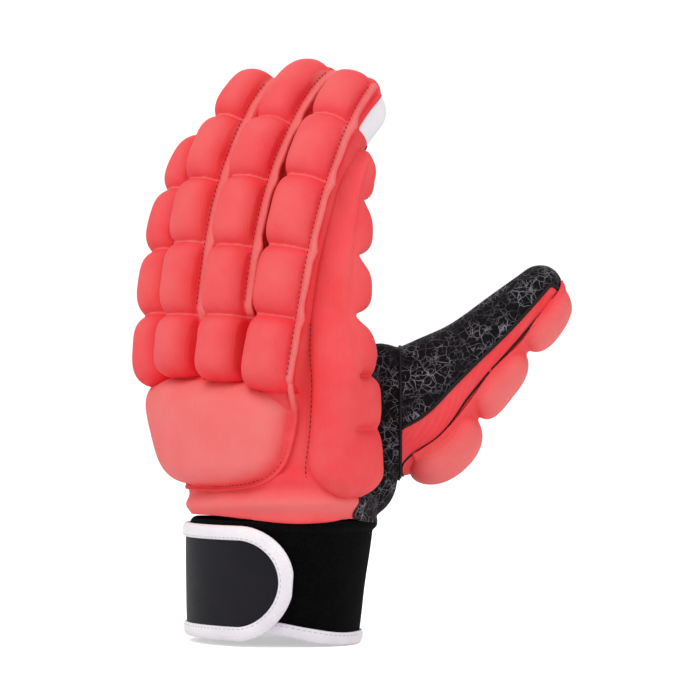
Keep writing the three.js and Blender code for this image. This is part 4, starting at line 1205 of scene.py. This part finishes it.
hem_inner = -CUFF_WALL - SEAM_GAP
hem_over, hem_under = SEAM_GAP + BINDING_THICKNESS, hem_inner - BINDING_THICKNESS
hem_profile = [(SEAM_GAP, HEM_HEIGHT - 0.5), (SEAM_GAP + 0.5, HEM_HEIGHT)]
hem_profile += [(hem_over - 0.1, HEM_HEIGHT - 0.35)]
hem_profile += [(hem_over + 0.35 * math.sin(math.pi * share), lerp(HEM_HEIGHT - 0.8, 1.2, share))
                for share in np.linspace(0, 1, 9)]
hem_profile += [(hem_over - 0.4, 0.25), (hem_over - 1.2, 0.0)]
hem_profile += [(hem_under + 1.2, 0.0), (hem_under + 0.4, 0.25)]
hem_profile += [(hem_under, lerp(1.2, HEM_HEIGHT - 0.8, share)) for share in np.linspace(0, 1, 5)]
hem_profile += [(hem_under + 0.5, HEM_HEIGHT), (hem_inner, HEM_HEIGHT - 0.5)]
hem_profile += [(hem_inner, BINDING_THICKNESS), (SEAM_GAP, BINDING_THICKNESS)]
dress(revolve("hem_tape", hem_profile, 0.1, 4), tape, "binding", "hem_binding")
around = np.linspace(0, 360, 500)
stitch_lines["white"].append(hem_drawn(cuff.at(around, HEM_HEIGHT - 1.3, hem_over + 0.15)))


# The strap, stepped off round the cuff from its rounded end

strap_foot = BINDING_THICKNESS + 2 * SEAM_GAP
strap_top = strap_foot + STRAP_THICKNESS
strap_middle = STRAP_RISE + STRAP_WIDTH / 2
strap_radius = STRAP_WIDTH / 2
strap_turns = STRAP_TIP_ANGLE - np.arange(0, 260, 0.5)
strap_line = cuff.at(strap_turns, strap_middle, strap_foot)
strap_lengths = lengths_along(strap_line)


def strap_place(length, across, height):
    return cuff.at(np.interp(length, strap_lengths, strap_turns), strap_middle + across, height)


def strap_outline(inset, edge_steps=90, end_steps=48):
    """The lower edge, the rounded end and the upper edge, drawn in by inset."""
    radius = strap_radius - inset
    edge = np.minimum(np.linspace(strap_radius, STRAP_LENGTH, edge_steps), STRAP_LENGTH - inset)
    turn = np.linspace(0, math.pi, end_steps + 1)[1:-1]
    length = np.concatenate([edge[::-1], strap_radius - radius * np.sin(turn), edge])
    straight = np.full(edge_steps, radius)
    return length, np.concatenate([-straight, -radius * np.cos(turn), straight])


def strap_panel():
    inset = BINDING_THICKNESS + SEAM_GAP
    turn = np.radians(np.linspace(8, 88, 16))
    lengths = np.concatenate([strap_radius - (strap_radius - inset) * np.cos(turn),
                              np.linspace(strap_radius, STRAP_LENGTH - inset, 80)])
    half = np.sqrt((strap_radius - inset) ** 2 - np.maximum(strap_radius - lengths, 0) ** 2)
    lengths, half, share = lengths[:, None], half[:, None], np.linspace(-1, 1, 24)
    over = strap_place(lengths, half * share, strap_top + 0.35 * (1 - share ** 4))
    under = strap_place(lengths, half * share[::-1], strap_foot)
    thing = make("strap_face", *tube(np.concatenate([over, under], 1)))
    dress(thing, panel, "strap_panel", "strap")


strap_panel()


def strap_tape():
    """A folded tape over the strap's edge, with a soft round outer side."""
    top = strap_top + SEAM_GAP + BINDING_THICKNESS
    outer = [(1.4 - 1.9 * math.sin(t), lerp(strap_foot, top, 0.5 - 0.5 * math.cos(t)))
             for t in np.linspace(0.1, math.pi * 0.9, 9)]
    upper = [(inset, top + 0.3 * math.sin(math.pi * inset / STRAP_BINDING_WIDTH))
             for inset in np.linspace(1.4, STRAP_BINDING_WIDTH - 0.4, 9)]
    inner = [(STRAP_BINDING_WIDTH, top - 0.3), (STRAP_BINDING_WIDTH, strap_top + 0.1)]
    profile = [*outer, *upper, *inner, (BINDING_THICKNESS + 1.0, strap_top + 0.1), (1.4, strap_foot)]
    points = np.stack([strap_place(*strap_outline(inset), height) for inset, height in profile], 1)
    thing = make("strap_tape", points.reshape(-1, 3), strip_faces(*points.shape[:2], True, True)[:, ::-1])
    insets = np.array([inset for inset, _ in profile])
    lay_weave(thing, np.tile(insets, len(points)), np.repeat(np.arange(len(points)) * 1.2, len(insets)), 0.5)
    seam = strap_outline(STRAP_BINDING_WIDTH - 1.0, 200, 120)
    stitch_lines["white"].append(strap_place(*seam, top + 0.1))
    dress(thing, tape, "binding", "strap_binding")


strap_tape()


# Stitching: short threads set along each seam, and round the thumb's cells a black line of overlapping
# threads as painted shadow

THREADS = {
    "coral": {"pitch": 2.1, "length": 1.35, "radius": 0.2, "material": coral_thread},
    # The black threads round the thumb's cells overlap into one line, a painted shadow under the flange's
    # edge.
    "painted_shadow": {"pitch": 1.0, "length": 1.3, "radius": 0.42, "material": black_thread},
    "white": {"pitch": 2.4, "length": 1.7, "radius": 0.2, "material": white_thread},
}


def stitching(name):
    """Threads rounded off at both ends, along the lines of one colour."""
    kind = THREADS[name]
    share, thick = np.array([0.0, 0.15, 0.5, 0.85, 1.0])[:, None], np.array([0.35, 0.9, 1.1, 0.9, 0.35])
    bodies = []
    for line in stitch_lines[name]:
        starts = np.arange(kind["pitch"] / 2, lengths_along(line)[-1] - kind["length"], kind["pitch"])
        for start, end in zip(sampled(line, starts), sampled(line, starts + kind["length"])):
            bodies.append(roll(lerp(start, end, share), kind["radius"] * thick, 6))
    dress(make(f"{name}_stitches", *merged(bodies)), kind["material"], None)


for thread_name in THREADS:
    stitching(thread_name)


# Floor, light and camera

towards = Vector((math.sin(math.radians(AZIMUTH)), -math.cos(math.radians(AZIMUTH)), 0))
right = Vector((math.cos(math.radians(AZIMUTH)), math.sin(math.radians(AZIMUTH)), 0))
aim = right * AIM["right"] + Vector((0, 0, AIM["up"]))


def aimed(name, data, place):
    """Something at a place given as (right, up, towards the camera), aimed at the glove."""
    thing = added(name, data)
    thing.location = aim + right * place[0] + Vector((0, 0, place[1])) + towards * place[2]
    thing.rotation_euler = (aim - thing.location).to_track_quat("-Z", "Y").to_euler()
    return thing


def lamp(name, place, size, energy):
    """A square soft light."""
    light = bpy.data.lights.new(name, "AREA")
    light.size = size
    light.energy = energy
    aimed(name, light, place)


camera = aimed("camera", bpy.data.cameras.new("camera"), (0, 0, CAMERA_DISTANCE))
camera.data.sensor_width = SENSOR
camera.data.lens = SENSOR * CAMERA_DISTANCE / MM * PIXELS_PER_MM / PHOTO_SIDE
bpy.context.scene.camera = camera


lamp("key", (-0.5, 1.0, 0.7), 0.6, 6)
lamp("fill", (1.1, 0.3, 0.7), 0.9, 2.4)
lamp("behind", (0.1, 0.9, -1.0), 1.2, 3)

world = bpy.data.worlds.new("studio")
bpy.context.scene.world = world
world.use_nodes = True
background = world.node_tree.nodes["Background"]
background.inputs["Color"].default_value = (1, 1, 1, 1)
seen = world.node_tree.nodes.new("ShaderNodeLightPath")
strength = world.node_tree.nodes.new("ShaderNodeMapRange")
world.node_tree.links.new(seen.outputs["Is Camera Ray"], strength.inputs[0])
strength.inputs[3].default_value = 0.66
strength.inputs[4].default_value = 1.05
world.node_tree.links.new(strength.outputs[0], background.inputs["Strength"])

corners = np.array([[-1, -1, 0], [1, -1, 0], [1, 1, 0], [-1, 1, 0]]) * FLOOR_HALF
floor = make("floor", corners, [[0, 1, 2, 3]], False)
pale = Shader("floor", Roughness=0.9, Specular_IOR_Level=0.1)
pale.surface.inputs["Emission Color"].default_value = (1, 1, 1, 1)
glow = pale.node("ShaderNodeLightPath")
pale.tree.links.new(pale.math("MULTIPLY", glow, 0.5), pale.surface.inputs["Emission Strength"])
mottle = pale.colour(pale.noise(3), (0.95, 0.95, 0.95, 1), (0.98, 0.98, 0.98, 1))
floor.data.materials.append(pale.finish(mottle))

bpy.context.scene.view_settings.view_transform = "Standard"
